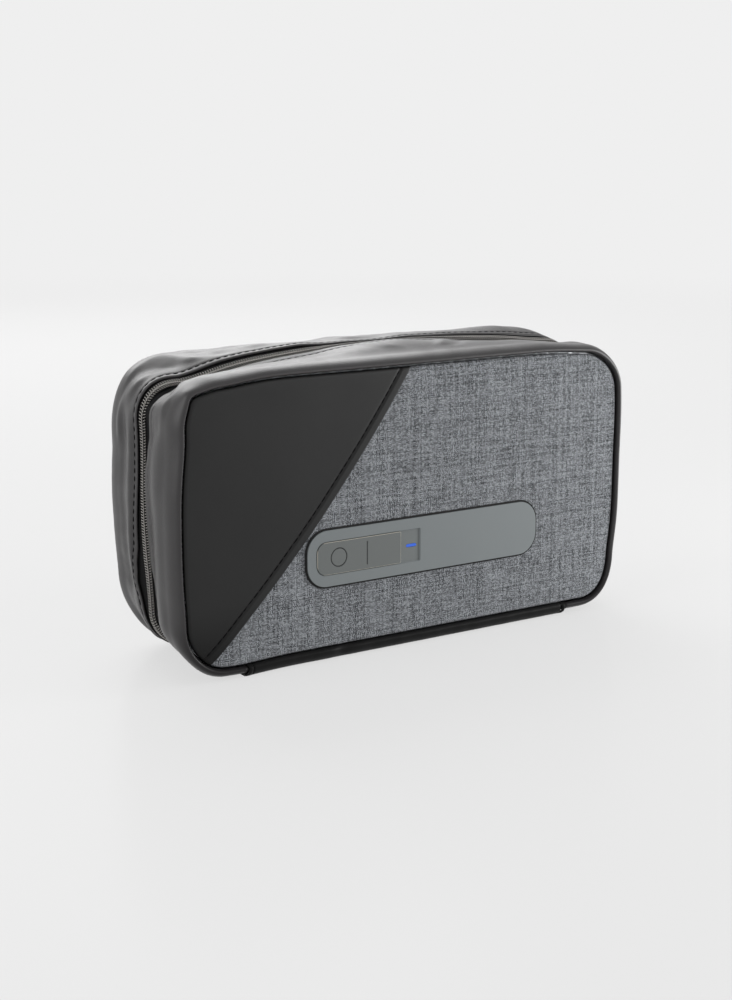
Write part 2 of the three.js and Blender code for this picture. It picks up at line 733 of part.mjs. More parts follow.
/** The knob's plate with its engraved ring and bar, and the stem with a pocket for the switch's lever. */
function powerKnob() {
  const ring = new THREE.Shape();
  const ringX = knob.left + markRingInset;
  ring.absarc(ringX, stripZ, markRingRadius + markWidth / 2, 0, Math.PI * 2);
  const core = new THREE.Path();
  core.absarc(ringX, stripZ, markRingRadius - markWidth / 2, 0, Math.PI * 2);
  ring.holes.push(core);
  const ringCut = new THREE.ExtrudeGeometry(ring, {
    depth: markDepth + overrun,
    bevelEnabled: false,
    curveSegments: smallRoundSteps,
  })
    .rotateX(Math.PI / 2)
    .translate(0, rowY(FRONT, knobFront + markDepth), 0);
  const bar = boundsAt(knob.left + markBarInset, stripZ, markWidth, markBarHeight);
  const body = joined(
    plate(roundedOutline(knob, knobCorner, knobNose), FRONT, knobFront, knobBack),
    block(stem, knobBack - knobThickness / 2, stemEnd),
  );
  return toGeometry(
    cut(
      body,
      ringCut,
      block(bar, knobFront - overrun, knobFront + markDepth),
      block(grown(lever, seatGap), stemEnd - leverPocket, stemEnd + overrun),
    ),
  );
}

function knobClip() {
  const clipFront = pocketBack + seatGap;
  const clipBack = clipFront + clipThickness;
  const solid = toSolid(block(boundsAt(stemX, stripZ, clipLength, clipHeight), clipFront, clipBack));
  return toGeometry(cut(solid, block(grown(stem, seatGap), clipFront - overrun, clipBack + overrun)));
}

const switchFront = circuitFace - switchDepth;
const switchFloor = switchFront + switchSlotDepth;

const switchLever = () => block(lever, stemEnd - leverPocket + seatGap, switchFloor - seatGap);

function slideSwitch() {
  const slot = { ...grown(lever, knobGap), right: lever.right + knobTravel + knobGap };
  const body = {
    left: slot.left - switchWall,
    right: slot.right + switchWall,
    foot: stripZ - switchHeight / 2,
    head: stripZ + switchHeight / 2,
  };
  const solid = toSolid(block(body, switchFront, circuitFace));
  return toGeometry(cut(solid, block(slot, switchFront - overrun, switchFloor)));
}

function indicatorLens() {
  const flangeFront = pocketBack + seatGap;
  const pipe = plate(
    roundedOutline(lamp, lampHeight / 2),
    FRONT,
    pocketFloor,
    circuitFace - indicatorDepth - lampEndGap,
  );
  const flange = plate(
    roundedOutline(grown(lamp, lampFlange), lampHeight / 2 + lampFlange),
    FRONT,
    flangeFront,
    flangeFront + lampFlangeThickness,
  );
  return toGeometry(joined(pipe, flange));
}

const indicatorLed = () =>
  block(boundsAt(lampX, stripZ, indicatorLength, indicatorHeight), circuitFace - indicatorDepth, circuitFace);

/** The case: a tray with screw columns, board supports, lamp windows, a sensor hole and the port's mouth. */
function lampCase() {
  const shell = cut(
    joined(plate(roundedOutline(caseOuter, caseCorner), FRONT, caseFront, caseBack)),
    plate(roundedOutline(caseInner, caseCorner - caseWall), FRONT, caseFront - overrun, caseFloor),
  );
  const columns = screwPlaces.map((place) =>
    rod(place, columnDiameter, bezelDepth + seatGap, caseFloor + caseWall / 2),
  );
  const rest = grown(circuit, -supportInset);
  const supports = [rest.left, rest.right].flatMap((x) =>
    [rest.foot, rest.head].map((z) =>
      rod({ x, z }, supportDiameter, circuitRear, caseFloor + caseWall / 2),
    ),
  );
  const full = shell.add(joined(...columns)).add(joined(...supports));
  const screwHoles = screwPlaces.flatMap((place) => [
    rod(place, screwHole, caseFront, caseBack + overrun),
    rod(place, screwHeadDiameter + 2 * screwHeadGap, headFront - seatGap, caseBack + overrun),
  ]);
  const windows = lampPlaces.flatMap((x) => [
    rod({ x, z: stripZ }, windowHole, caseFloor - overrun, caseBack + overrun),
    rod(
      { x, z: stripZ },
      windowDiameter + 2 * windowGap,
      caseBack - windowThickness - seatGap,
      caseBack + overrun,
    ),
  ]);
  const mouth = { ...grown(port, portGap), foot: port.foot - overrun };
  return toGeometry(
    cut(
      full,
      ...screwHoles,
      ...windows,
      rod(sensorPlace, sensorHole, caseFloor - overrun, caseBack + overrun),
      block(mouth, circuitRear - portGap, circuitRear + portHeight + portGap),
    ),
  );
}

function caseScrew(place) {
  const solid = joined(
    rod(place, screwDiameter, headFront - screwLength, headFront + screwHeadHeight / 2),
    rod(place, screwHeadDiameter, headFront, headFront + screwHeadHeight),
  );
  const headBack = headFront + screwHeadHeight;
  return toGeometry(cut(solid, rod(place, recessDiameter, headBack - recessDepth, headBack + overrun)));
}

function circuitBoard() {
  const outline = roundedOutline(circuit, caseCorner - caseWall - circuitGap);
  const solid = toSolid(plate(outline, FRONT, boardPlane, circuitBack));
  const holes = screwPlaces.map((place) =>
    rod(place, columnDiameter + 2 * circuitGap, boardPlane - overrun, circuitBack + overrun),
  );
  return toGeometry(cut(solid, ...holes));
}

const uvLed = (x) =>
  block(boundsAt(x, stripZ, ledSize, ledSize), circuitRear, circuitRear + ledDepth);

const uvWindow = (x) => rod({ x, z: stripZ }, windowDiameter, caseBack - windowThickness, caseBack);

const lidSensor = () =>
  block(
    boundsAt(sensorPlace.x, sensorPlace.z, sensorLength, sensorHeight),
    circuitRear,
    circuitRear + sensorDepth,
  );

const chipX = lampPlaces[0] - ledSize / 2 - chipGap - chipSize / 2;
const controllerChip = () =>
  block(boundsAt(chipX, stripZ, chipSize, chipSize), circuitRear, circuitRear + chipDepth);

const cell = {
  left: pocket.right + bezelFloor + cellGap,
  right: screwEnds[1] - bossDiameter / 2 - cellEndGap,
  foot: stripZ - cellHeight / 2,
  head: stripZ + cellHeight / 2,
};
const cellFront = floorBack + cellSeat;
const cellBack = cellFront + cellThickness;

const batteryCell = () => plate(roundedOutline(cell, cellCorner), FRONT, cellFront, cellBack);
const batteryPad = () => block(grown(cell, -padInset), cellBack + seatGap, circuitFace);

/** The charging socket opens down through the lower wall of the case, with a tongue in its mouth. */
function chargeSocket() {
  const back = circuitRear + portHeight;
  const middle = (circuitRear + back) / 2;
  const solid = toSolid(block(port, circuitRear, back));
  const hollow = {
    left: port.left + portWall,
    right: port.right - portWall,
    foot: port.foot - overrun,
    head: port.foot + portDepth,
  };
  const tongue = {
    ...boundsAt(portX, 0, portTongueWidth, 0),
    foot: port.foot + portTongueInset,
    head: port.foot + portDepth + portWall,
  };
  const open = cut(solid, block(hollow, circuitRear + portWall, back - portWall));
  const halfTongue = portTongueThickness / 2;
  return toGeometry(open.add(toSolid(block(tongue, middle - halfTongue, middle + halfTongue))));
}

/** The slider: two plates, the post between the coils, a flange behind the rear coil and the bridge. */
function zipSlider() {
  const { z, innerFace, outerFace } = slider;
  const face = new THREE.Shape();
  const [wide, long] = [sliderWidth / 2, sliderLength / 2];
  const corner = sliderCorner;
  face.absarc(wide - corner, z - long + corner, corner, -Math.PI / 2, 0);
  face.absarc(wide - corner, z + long - corner, corner, 0, Math.PI / 2);
  face.absarc(corner - wide, z + long - corner, corner, Math.PI / 2, Math.PI);
  face.absarc(corner - wide, z - long + corner, corner, Math.PI, Math.PI * 1.5);
  const postHead = z + long - postInset;
  const post = {
    left: innerFace - sliderPlate / 2,
    right: outerFace + sliderPlate / 2,
    foot: postHead - postLength,
    head: postHead,
  };
  const flange = {
    left: halfWidth + sideLip - tapeDrop + sliderGap,
    right: outerFace + sliderPlate / 2,
    foot: z - long + corner,
    head: z + long - corner,
  };
  const bridge = {
    left: sliderTop - sliderPlate / 2,
    right: bridgeInside + bridgeBar,
    foot: z - bridgeLength / 2,
    head: z + bridgeLength / 2,
  };
  const eye = {
    left: sliderTop,
    right: bridgeInside,
    foot: bridge.foot + bridgeLeg,
    head: bridge.head - bridgeLeg,
  };
  const depthOf = (y) => halfDepth + y;
  const solid = joined(
    sidePlate(face, innerFace - sliderPlate, innerFace),
    sidePlate(face, outerFace, sliderTop),
    block(post, depthOf(-postThickness / 2), depthOf(postThickness / 2)),
    block(flange, depthOf(chainWidth / 2 + sliderGap), depthOf(wide)),
    block(bridge, depthOf(-bridgeWidth / 2), depthOf(bridgeWidth / 2)),
  );
  return toGeometry(cut(solid, block(eye, depthOf(-bridgeWidth), depthOf(bridgeWidth))));
}

/** The pull: a cross bar in the bridge, two arms beside it, and a plate that hangs down. */
function zipPull() {
  const [wide, inner, tip] = [pullWidth / 2, pullWidth / 2 - pullArm, pullTipRadius];
  const outline = new THREE.Shape();
  outline.moveTo(-inner, 0);
  outline.lineTo(-wide, 0);
  outline.lineTo(-wide, tip - pullLength);
  outline.absarc(tip - wide, tip - pullLength, tip, Math.PI, Math.PI * 1.5);
  outline.absarc(wide - tip, tip - pullLength, tip, -Math.PI / 2, 0);
  outline.lineTo(wide, 0);
  outline.lineTo(inner, 0);
  outline.lineTo(inner, -pullThroat);
  outline.lineTo(-inner, -pullThroat);
  const half = pullThickness / 2;
  const tab = sidePlate(outline, pullBarX - half, pullBarX + half).translate(0, 0, slider.z);
  const bar = rod({ x: pullBarX, z: slider.z }, pullBarDiameter, halfDepth - wide, halfDepth + wide);
  return toGeometry(joined(tab, bar));
}

/** A named piece of the pouch. */
function piece(name, look, geometry) {
  const material = new THREE.MeshStandardMaterial(materials[look]);
  const mesh = new THREE.Mesh(geometry, material);
  mesh.name = name;
  return mesh;
}

const lid = new THREE.Group().add(
  piece("front_fabric_panel", "melange", panelCloth(FRONT)),
  piece("front_corner_patch", "coated", cornerPatch()),
  piece("front_board", "board", panelBoard(FRONT)),
  piece("lid_lining", "lining", panelLining(front)),
  piece("lid_side_lining", "lining", sideLining(front)),
  piece("front_gusset", "coated", gusset(front)),
  piece("front_zip_tape", "tape", zipTape(front)),
  piece("front_zip_coil", "coil", zipCoil(front)),
  piece("front_stop_left", "sliderMetal", zipStop(front, LEFT)),
  piece("front_stop_right", "sliderMetal", zipStop(front, RIGHT)),
);

const lampModule = new THREE.Group().add(
  piece("control_strip", "strip", controlStrip()),
  piece("strip_gasket", "rubber", stripGasket()),
  piece("lamp_case", "casing", lampCase()),
  ...screwPlaces.map((place, i) => piece(`case_screw_${i + 1}`, "steel", caseScrew(place))),
  piece("circuit_board", "circuit", circuitBoard()),
  piece("slide_switch", "component", slideSwitch()),
  piece("indicator_led", "ceramic", indicatorLed()),
  piece("indicator_lens", "lightPipe", indicatorLens()),
  ...lampPlaces.map((x, i) => piece(`uv_led_${i + 1}`, "ceramic", uvLed(x))),
  ...lampPlaces.map((x, i) => piece(`uv_window_${i + 1}`, "quartz", uvWindow(x))),
  piece("lid_sensor", "component", lidSensor()),
  piece("controller_chip", "component", controllerChip()),
  piece("battery_cell", "cell", batteryCell()),
  piece("battery_pad", "rubber", batteryPad()),
  piece("charge_socket", "steel", chargeSocket()),
);

const slidingKnob = new THREE.Group().add(
  piece("power_knob", "knob", powerKnob()),
  piece("knob_clip", "component", knobClip()),
  piece("switch_lever", "component", switchLever()),
);

const tabOuter = baseLength / 2 + seamGap + tabWidth;
const tabInner = baseLength / 2 + seamGap;
const baseRun = baseLength / 2;

const rearTray = new THREE.Group().add(
  piece("rear_panel", "coated", panelCloth(REAR)),
  piece("rear_board", "board", panelBoard(REAR)),
  piece("rear_lining", "lining", panelLining(rear)),
  piece("rear_side_lining", "lining", sideLining(rear)),
  piece("rear_gusset", "coated", gusset(rear)),
  piece("rear_zip_tape", "tape", zipTape(rear)),
  piece("rear_zip_coil", "coil", zipCoil(rear)),
  piece("rear_stop_left", "sliderMetal", zipStop(rear, LEFT)),
  piece("rear_stop_right", "sliderMetal", zipStop(rear, RIGHT)),
  piece("base_panel", "coated", channel(-baseRun, baseRun, rollProud)),
  piece("base_board", "board", baseLayer(clothGap, rearRollLength, baseBoardFoot, boardThickness)),
  piece("base_lining", "lining", baseLayer(clothGap, boardDepth, baseLiningFoot, liningThickness)),
  piece("left_end_tab", "coated", channel(-tabOuter, -tabInner, rollProud + tabProud)),
  piece("right_end_tab", "coated", channel(tabInner, tabOuter, rollProud + tabProud)),
);

const pull = new THREE.Group().add(
  piece("zip_slider", "sliderMetal", zipSlider()),
  piece("zip_pull", "sliderMetal", zipPull()),
);

const pouch = new THREE.Group().add(rearTray, lid, lampModule, slidingKnob, pull);

export default pouch;
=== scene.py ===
"""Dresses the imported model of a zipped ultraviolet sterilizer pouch: cloth, zip, lamp module and studio.

Sizes are in millimetres, and each mesh is turned to metres as it is made. A depth is measured inwards
from the outer face of the front or the rear panel. "Along" is a length along the three zipped sides,
which starts beside the left end of the base and runs up the left side, over the top and down the right.
"""
import logging
import math
from collections.abc import Callable, Iterable
from dataclasses import dataclass, replace
from enum import Enum

import bmesh
import bpy
from mathutils import Matrix, Vector, noise


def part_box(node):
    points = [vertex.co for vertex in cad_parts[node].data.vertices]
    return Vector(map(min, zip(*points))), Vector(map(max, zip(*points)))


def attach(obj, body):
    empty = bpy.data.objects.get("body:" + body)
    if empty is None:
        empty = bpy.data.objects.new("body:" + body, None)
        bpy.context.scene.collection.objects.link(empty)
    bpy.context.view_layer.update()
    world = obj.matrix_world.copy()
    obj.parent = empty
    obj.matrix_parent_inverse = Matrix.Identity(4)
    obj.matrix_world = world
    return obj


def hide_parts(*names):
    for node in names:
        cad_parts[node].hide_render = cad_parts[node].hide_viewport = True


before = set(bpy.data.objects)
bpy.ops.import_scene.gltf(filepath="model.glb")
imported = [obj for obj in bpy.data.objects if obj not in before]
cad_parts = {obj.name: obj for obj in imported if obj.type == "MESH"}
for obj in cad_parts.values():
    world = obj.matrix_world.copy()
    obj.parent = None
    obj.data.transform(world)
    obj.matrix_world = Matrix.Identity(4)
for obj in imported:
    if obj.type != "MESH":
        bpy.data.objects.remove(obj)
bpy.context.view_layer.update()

MM = 0.001

Tree = bpy.types.NodeTree
Node = bpy.types.Node
Socket = bpy.types.NodeSocket
Object = bpy.types.Object
Solid = bmesh.types.BMesh
Place = tuple[float, float, float]
Net = list[list[Vector]]
Section = list[tuple[float, float]]
Stitches = Iterable[tuple[Vector, Vector, Vector]]

log = logging.getLogger("pouch")


class Half(Enum):
    """The two trays of the pouch, by the side of the zip on which they lie."""

    FRONT = -1
    REAR = 1


class Chart(Enum):
    """The coordinates that a pattern follows: the row's own, or the cloth's own lengths."""

    ROW = "Object"
    CLOTH = "UV"


class Run(Enum):
    """The way that a fold runs in a side wall."""

    ACROSS = "from the roll to the lip"
    ALONG = "beside the zip"


# Small sums


def mix(a: float, b: float, share: float) -> float:
    """The value at a share of the way from a to b."""
    return a + (b - a) * share


def clamp(share: float) -> float:
    """The share, held between 0 and 1."""
    return min(1.0, max(0.0, share))


def ease(share: float) -> float:
    """A smooth step from 0 to 1."""
    held = clamp(share)
    return held * held * (3 - 2 * held)


def between(points: tuple[tuple[float, float], ...], share: float) -> float:
    """The value at a share of the zip's length, eased between points that give a share and a value.

    Args:
        points: Pairs of a share and a value, in order.
        share: The share.

    Returns:
        The value there.
    """
    for (start, first), (end, last) in zip(points, points[1:]):
        if share <= end:
            return mix(first, last, ease((share - start) / (end - start)))
    return points[-1][1]


def ripple(*place: float) -> float:
    """Smooth noise between -1 and 1 at a place given as one to three numbers."""
    return noise.noise(Vector((*place, 0.0, 0.0)[:3]))


def quarter(steps: int) -> list[float]:
    """Angles of a quarter turn, from a right angle down to the last step above zero."""
    return [math.pi / 2 * (1 - k / steps) for k in range(steps)]


def linear(code: str) -> tuple[float, float, float, float]:
    """The linear colour of an sRGB hex value such as #80878a.

    Args:
        code: The hex value.

    Returns:
        Red, green and blue, and an alpha of 1.
    """
    shares = [int(code[i : i + 2], 16) / 255 for i in (1, 3, 5)]
    straight = [c / 12.92 if c <= 0.04045 else ((c + 0.055) / 1.055) ** 2.4 for c in shares]
    return (*straight, 1.0)


# Materials


def feed(tree: Tree, node: Node, sockets: dict) -> None:
    """Sets a node's inputs, by name or number. A socket as value is linked.

    Args:
        tree: The node tree.
        node: The node.
        sockets: The inputs' values and links.
    """
    for key, value in sockets.items():
        if isinstance(value, Socket):
            tree.links.new(value, node.inputs[key])
        else:
            node.inputs[key].default_value = value


def add(tree: Tree, kind: str, sockets: dict | None = None, **settings) -> Node:
    """Adds a node.

    Args:
        tree: The node tree that it goes into.
        kind: The node's type.
        sockets: Values and links of its inputs, by name or number.
        settings: The node's own settings.

    Returns:
        The node.
    """
    node = tree.nodes.new(kind)
    for name, value in settings.items():
        setattr(node, name, value)
    feed(tree, node, sockets or {})
    return node


def spots(place: Socket, size: float, detail: float = 2.0) -> dict:
    """Inputs of a noise whose spots are about size millimetres across."""
    return {"Vector": place, "Scale": 1 / (size * MM), "Detail": detail}


def relief(height: Socket, rise: float) -> dict:
    """Inputs of a bump whose heights from 0 to 1 rise by the given millimetres."""
    return {"Height": height, "Distance": rise * MM, "Strength": 1.0}


@dataclass(frozen=True)
class Finish:
    """A surface finish. A kind of finish adds the pattern that the real material shows."""

    name: str
    color: str
    roughness: float
    metallic: float = 0.0
    ior: float = 1.5
    light: str = ""

    def material(self) -> bpy.types.Material:
        """The finish as a material, made when it is first asked for.

        Returns:
            The material.
        """
        known = bpy.data.materials.get(self.name)
        if known:
            return known
        material = bpy.data.materials.new(self.name)
        material.use_nodes = True
        tree = material.node_tree
        plain = {
            "Base Color": linear(self.color),
            "Roughness": self.roughness,
            "Metallic": self.metallic,
            "IOR": self.ior,
        }
        for sockets in (plain, self.pattern(tree)):
            feed(tree, tree.nodes["Principled BSDF"], sockets)
        return material

    def pattern(self, tree: Tree) -> dict:
        """Adds the pattern's nodes, and gives the surface inputs that they feed."""
        return {}

    def shades(self, value: Socket) -> dict:
        """Inputs of a mix between the finish's darker and lighter colour."""
        return {0: value, 6: linear(self.color), 7: linear(self.light)}

    def gloss(self, value: Socket, glossier: float, duller: float) -> dict:
        """Inputs of a range of roughness round the finish's own."""
        return {"Value": value, "To Min": self.roughness - glossier, "To Max": self.roughness + duller}


@dataclass(frozen=True)
class CoatedCloth(Finish):
    """Polyester cloth with a polyurethane coating: nearly black, with a soft sheen and faint cloth grain."""

    light: str = "#2e2c2d"
    # The real threads lie some 0.3 mm apart. They are drawn coarser, so that they just show.
    thread: float = 0.45
    thread_rise: float = 0.012
    crinkle: float = 2.6
    crinkle_detail: float = 3.0
    crinkle_rise: float = 0.035
    cloud: float = 14.0
    cloud_detail: float = 4.0
    gloss_spot: float = 7.8
    glossier: float = 0.05
    duller: float = 0.06
    # Specular level at the table, and the height up to which it rises to the glossy level: painted shade at
    # the foot.
    foot_shade_specular: float = 0.16
    glossy: float = 0.55
    foot_shade_height: float = 34.0

    def pattern(self, tree: Tree) -> dict:
        """Uneven coating over a fine plain weave that only just shows, with its specular level turned down
        near the table as painted shade.

        Args:
            tree: The material's node tree.

        Returns:
            The surface inputs that the pattern feeds.
        """
        cloth = add(tree, "ShaderNodeTexCoord").outputs[Chart.CLOTH.value]
        row = add(tree, "ShaderNodeTexCoord").outputs[Chart.ROW.value]
        cloud = add(tree, "ShaderNodeTexNoise", spots(row, self.cloud, self.cloud_detail)).outputs[0]
        patchy = add(tree, "ShaderNodeTexNoise", spots(row, self.gloss_spot)).outputs[0]
        crinkle = add(tree, "ShaderNodeTexNoise", spots(row, self.crinkle, self.crinkle_detail)).outputs[0]
        weave = woven_height(tree, cloth, self.thread)
        grain = add(tree, "ShaderNodeBump", relief(weave, self.thread_rise)).outputs[0]
        creased = {**relief(crinkle, self.crinkle_rise), "Normal": grain}
        uneven = self.gloss(patchy, self.glossier, self.duller)
        height = add(tree, "ShaderNodeSeparateXYZ", {0: row}).outputs[2]
        # The specular level is turned down towards the table: painted shade, so that the foot reflects less.
        top = self.foot_shade_height * MM
        foot_shade_range = {"Value": height, "From Max": top, "To Min": self.foot_shade_specular, "To Max": self.glossy}
        foot_shade = add(tree, "ShaderNodeMapRange", foot_shade_range, interpolation_type="SMOOTHSTEP")
        return {
            "Base Color": add(tree, "ShaderNodeMix", self.shades(cloud), data_type="RGBA").outputs[2],
            "Roughness": add(tree, "ShaderNodeMapRange", uneven).outputs[0],
            "Specular IOR Level": foot_shade.outputs[0],
            "Normal": add(tree, "ShaderNodeBump", creased).outputs[0],
        }


@dataclass(frozen=True)
class MelangeCloth(Finish):
    """Plain weave of grey polyester yarns dyed unevenly, so that light and dark slubs run both ways."""

    light: str = "#b3b7bc"
    # The real yarns lie about 0.61 mm and 0.49 mm apart. Drawn a little finer, they show the same grain.
    warp: float = 0.5
    weft: float = 0.41
    slub: float = 10.0
    lots: float = 37.0
    lot_share: float = 0.28
    fleck_dark: float = 0.14
    fleck_light: float = 0.34
    weft_lift: float = 0.035
    darkest_share: float = 0.18
    lightest_share: float = 0.84
    yarn_rise: float = 0.06

    def pattern(self, tree: Tree) -> dict:
        """Yarns that take turns on top, each with its own shade that changes along it.

        Args:
            tree: The material's node tree.

        Returns:
            The surface inputs that the pattern feeds.
        """
        row = add(tree, "ShaderNodeTexCoord").outputs[Chart.ROW.value]
        parts = add(tree, "ShaderNodeSeparateXYZ", {0: row}).outputs
        up = parts[2]
        squeeze = {0: parts[0], 1: self.weft / self.warp}
        across = add(tree, "ShaderNodeMath", squeeze, operation="MULTIPLY").outputs[0]
        flat = add(tree, "ShaderNodeCombineXYZ", {0: across, 1: up}).outputs[0]
        warp = self.yarn_shade(tree, across, up, -self.weft_lift)
        weft = self.yarn_shade(tree, up, across, self.weft_lift)
        turns = {0: woven_turn(tree, flat, self.weft), 2: warp, 3: weft}
        shade = add(tree, "ShaderNodeMix", turns, data_type="FLOAT").outputs[0]
        counts = {0: flat, "Scale": 1 / (self.weft * MM)}
        crossing = add(tree, "ShaderNodeVectorMath", counts, operation="SCALE").outputs[0]
        counted = add(tree, "ShaderNodeVectorMath", {0: crossing}, operation="FLOOR").outputs[0]
        fleck = add(tree, "ShaderNodeTexWhiteNoise", {"Vector": counted}).outputs[0]
        rare = add(tree, "ShaderNodeMath", {0: fleck, 1: fleck}, operation="MULTIPLY").outputs[0]
        flecked = {"Value": rare, "To Min": -self.fleck_dark, "To Max": self.fleck_light}
        flecks = add(tree, "ShaderNodeMapRange", flecked).outputs[0]
        mixed = add(tree, "ShaderNodeMath", {0: shade, 1: flecks}, operation="ADD").outputs[0]
        spread = {"Value": mixed, "From Min": self.darkest_share, "From Max": self.lightest_share}
        tone = add(tree, "ShaderNodeMapRange", spread).outputs[0]
        height = woven_height(tree, flat, self.weft)
        return {
            "Base Color": add(tree, "ShaderNodeMix", self.shades(tone), data_type="RGBA").outputs[2],
            "Normal": add(tree, "ShaderNodeBump", relief(height, self.yarn_rise)).outputs[0],
        }

    def yarn_shade(self, tree: Tree, across: Socket, along: Socket, lift: float) -> Socket:
        """The shade of the yarns that lie side by side in one direction.

        Args:
            tree: The material's node tree.
            across: The place across the yarns, in metres.
            along: The place along the yarns, in metres.
            lift: How much lighter these yarns are than the cloth's mean.

        Returns:
            The shade: each yarn comes from its own lot of dye, and it drifts with the yarn's slubs.
        """
        counts = {0: across, 1: 1 / (self.weft * MM)}
        beside = add(tree, "ShaderNodeMath", counts, operation="MULTIPLY").outputs[0]
        yarn = add(tree, "ShaderNodeMath", {0: beside}, operation="FLOOR").outputs[0]
        lot = add(tree, "ShaderNodeTexWhiteNoise", {"W": yarn}, noise_dimensions="1D").outputs[0]
        starts = {"Value": lot, "To Min": self.lots * lift, "To Max": self.lots}
        first = add(tree, "ShaderNodeMapRange", starts).outputs[0]
        slubs = {0: along, 1: 1 / (self.slub * MM)}
        slub = add(tree, "ShaderNodeMath", slubs, operation="MULTIPLY").outputs[0]
        spot = add(tree, "ShaderNodeCombineXYZ", {0: first, 1: slub}).outputs[0]
        drifts = {"Vector": spot, "Scale": 1.0}
        drift = add(tree, "ShaderNodeTexNoise", drifts, noise_dimensions="2D").outputs[0]
        mixes = {0: self.lot_share, 2: drift, 3: lot}
        mean = add(tree, "ShaderNodeMix", mixes, data_type="FLOAT").outputs[0]
        return add(tree, "ShaderNodeMath", {0: mean, 1: lift}, operation="ADD").outputs[0]


@dataclass(frozen=True)
class Webbing(Finish):
    """Woven polyester tape or thread: dull black, with a plain weave that stands out a little."""

    light: str = "#3a3a3b"
    rib: float = 0.55
    rib_rise: float = 0.12

    def pattern(self, tree: Tree) -> dict:
        """Round ribs of thread that cross.

        Args:
            tree: The material's node tree.

        Returns:
            The surface inputs that the pattern feeds.
        """
        cloth = add(tree, "ShaderNodeTexCoord").outputs[Chart.CLOTH.value]
        weave = woven_height(tree, cloth, self.rib)
        return {
            "Base Color": add(tree, "ShaderNodeMix", self.shades(weave), data_type="RGBA").outputs[2],
            "Normal": add(tree, "ShaderNodeBump", relief(weave, self.rib_rise)).outputs[0],
        }


@dataclass(frozen=True)
class Moulded(Finish):
    """Injection-moulded plastic with a fine spark-eroded texture: matt, with a soft even highlight."""

    # The real texture is some 0.1 mm across. It is drawn coarser, so that it still shows.
    spark: float = 0.3
    spark_rise: float = 0.012
    cloud: float = 20.0
    gloss_spot: float = 12.0
    gloss_detail: float = 3.0
    gloss_change: float = 0.04

    def pattern(self, tree: Tree) -> dict:
        """Fine texture of the mould, and a slight unevenness of gloss.

        Args:
            tree: The material's node tree.

        Returns:
            The surface inputs that the pattern feeds.
        """
        row = add(tree, "ShaderNodeTexCoord").outputs[Chart.ROW.value]
        spark = add(tree, "ShaderNodeTexNoise", spots(row, self.spark)).outputs[0]
        patchy = add(tree, "ShaderNodeTexNoise", spots(row, self.gloss_spot, self.gloss_detail)).outputs[0]
        uneven = self.gloss(patchy, self.gloss_change, self.gloss_change)
        fed = {
            "Normal": add(tree, "ShaderNodeBump", relief(spark, self.spark_rise)).outputs[0],
            "Roughness": add(tree, "ShaderNodeMapRange", uneven).outputs[0],
        }
        if self.light:
            cloud = add(tree, "ShaderNodeTexNoise", spots(row, self.cloud)).outputs[0]
            fed["Base Color"] = add(tree, "ShaderNodeMix", self.shades(cloud), data_type="RGBA").outputs[2]
        return fed


@dataclass(frozen=True)
class NylonCoil(Finish):
    """Nylon filament, set in a coil: grey and half gloss, slightly lighter where it is drawn thin."""

    light: str = "#c6c2bd"
    draw: float = 0.8

    def pattern(self, tree: Tree) -> dict:
        """Shade that changes a little from tooth to tooth.

        Args:
            tree: The material's node tree.

        Returns:
            The surface inputs that the pattern feeds.
        """
        row = add(tree, "ShaderNodeTexCoord").outputs[Chart.ROW.value]
        drawn = add(tree, "ShaderNodeTexNoise", spots(row, self.draw)).outputs[0]
        return {"Base Color": add(tree, "ShaderNodeMix", self.shades(drawn), data_type="RGBA").outputs[2]}


@dataclass(frozen=True)
class FoilLining(Finish):
    """Aluminised polyester film on thin cloth: silvery, pressed with a small square grid and crinkled."""

    light: str = "#c9cccf"
    grid: float = 3.2
    grid_rise: float = 0.1
    crinkle: float = 5.0
    crinkle_detail: float = 5.0
    crinkle_rise: float = 0.25

    def pattern(self, tree: Tree) -> dict:
        """A pressed grid over crinkled film.

        Args:
            tree: The material's node tree.

        Returns:
            The surface inputs that the pattern feeds.
        """
        cloth = add(tree, "ShaderNodeTexCoord").outputs[Chart.CLOTH.value]
        row = add(tree, "ShaderNodeTexCoord").outputs[Chart.ROW.value]
        grid = woven_height(tree, cloth, self.grid)
        pressed = add(tree, "ShaderNodeBump", relief(grid, self.grid_rise)).outputs[0]
        crinkle = add(tree, "ShaderNodeTexNoise", spots(row, self.crinkle, self.crinkle_detail)).outputs[0]
        creased = {**relief(crinkle, self.crinkle_rise), "Normal": pressed}
        return {
            "Base Color": add(tree, "ShaderNodeMix", self.shades(crinkle), data_type="RGBA").outputs[2],
            "Normal": add(tree, "ShaderNodeBump", creased).outputs[0],
        }


@dataclass(frozen=True)
class Metal(Finish):
    """Bare or plated metal with fine brush marks, worn unevenly."""

    # Real brush marks are some 0.03 mm wide. They are drawn coarser, so that they still show.
    brush: float = 0.08
    brush_share: float = 0.06
    brush_rise: float = 0.004
    worn_spot: float = 3.0
    worn_detail: float = 3.0
    polished: float = 0.06
    dulled: float = 0.08

    def pattern(self, tree: Tree) -> dict:
        """Marks of the brush, drawn out along X.

        Args:
            tree: The material's node tree.

        Returns:
            The surface inputs that the pattern feeds.
        """
        row = add(tree, "ShaderNodeTexCoord").outputs[Chart.ROW.value]
        drawn = {"Vector": row, "Scale": (self.brush_share, 1.0, 1.0)}
        stretch = add(tree, "ShaderNodeMapping", drawn).outputs[0]
        marks = add(tree, "ShaderNodeTexNoise", spots(stretch, self.brush)).outputs[0]
        wear_and_edge_highlight = add(tree, "ShaderNodeTexNoise", spots(row, self.worn_spot, self.worn_detail)).outputs[0]
        uneven = self.gloss(wear_and_edge_highlight, self.polished, self.dulled)
        return {
            "Normal": add(tree, "ShaderNodeBump", relief(marks, self.brush_rise)).outputs[0],
            "Roughness": add(tree, "ShaderNodeMapRange", uneven).outputs[0],
        }


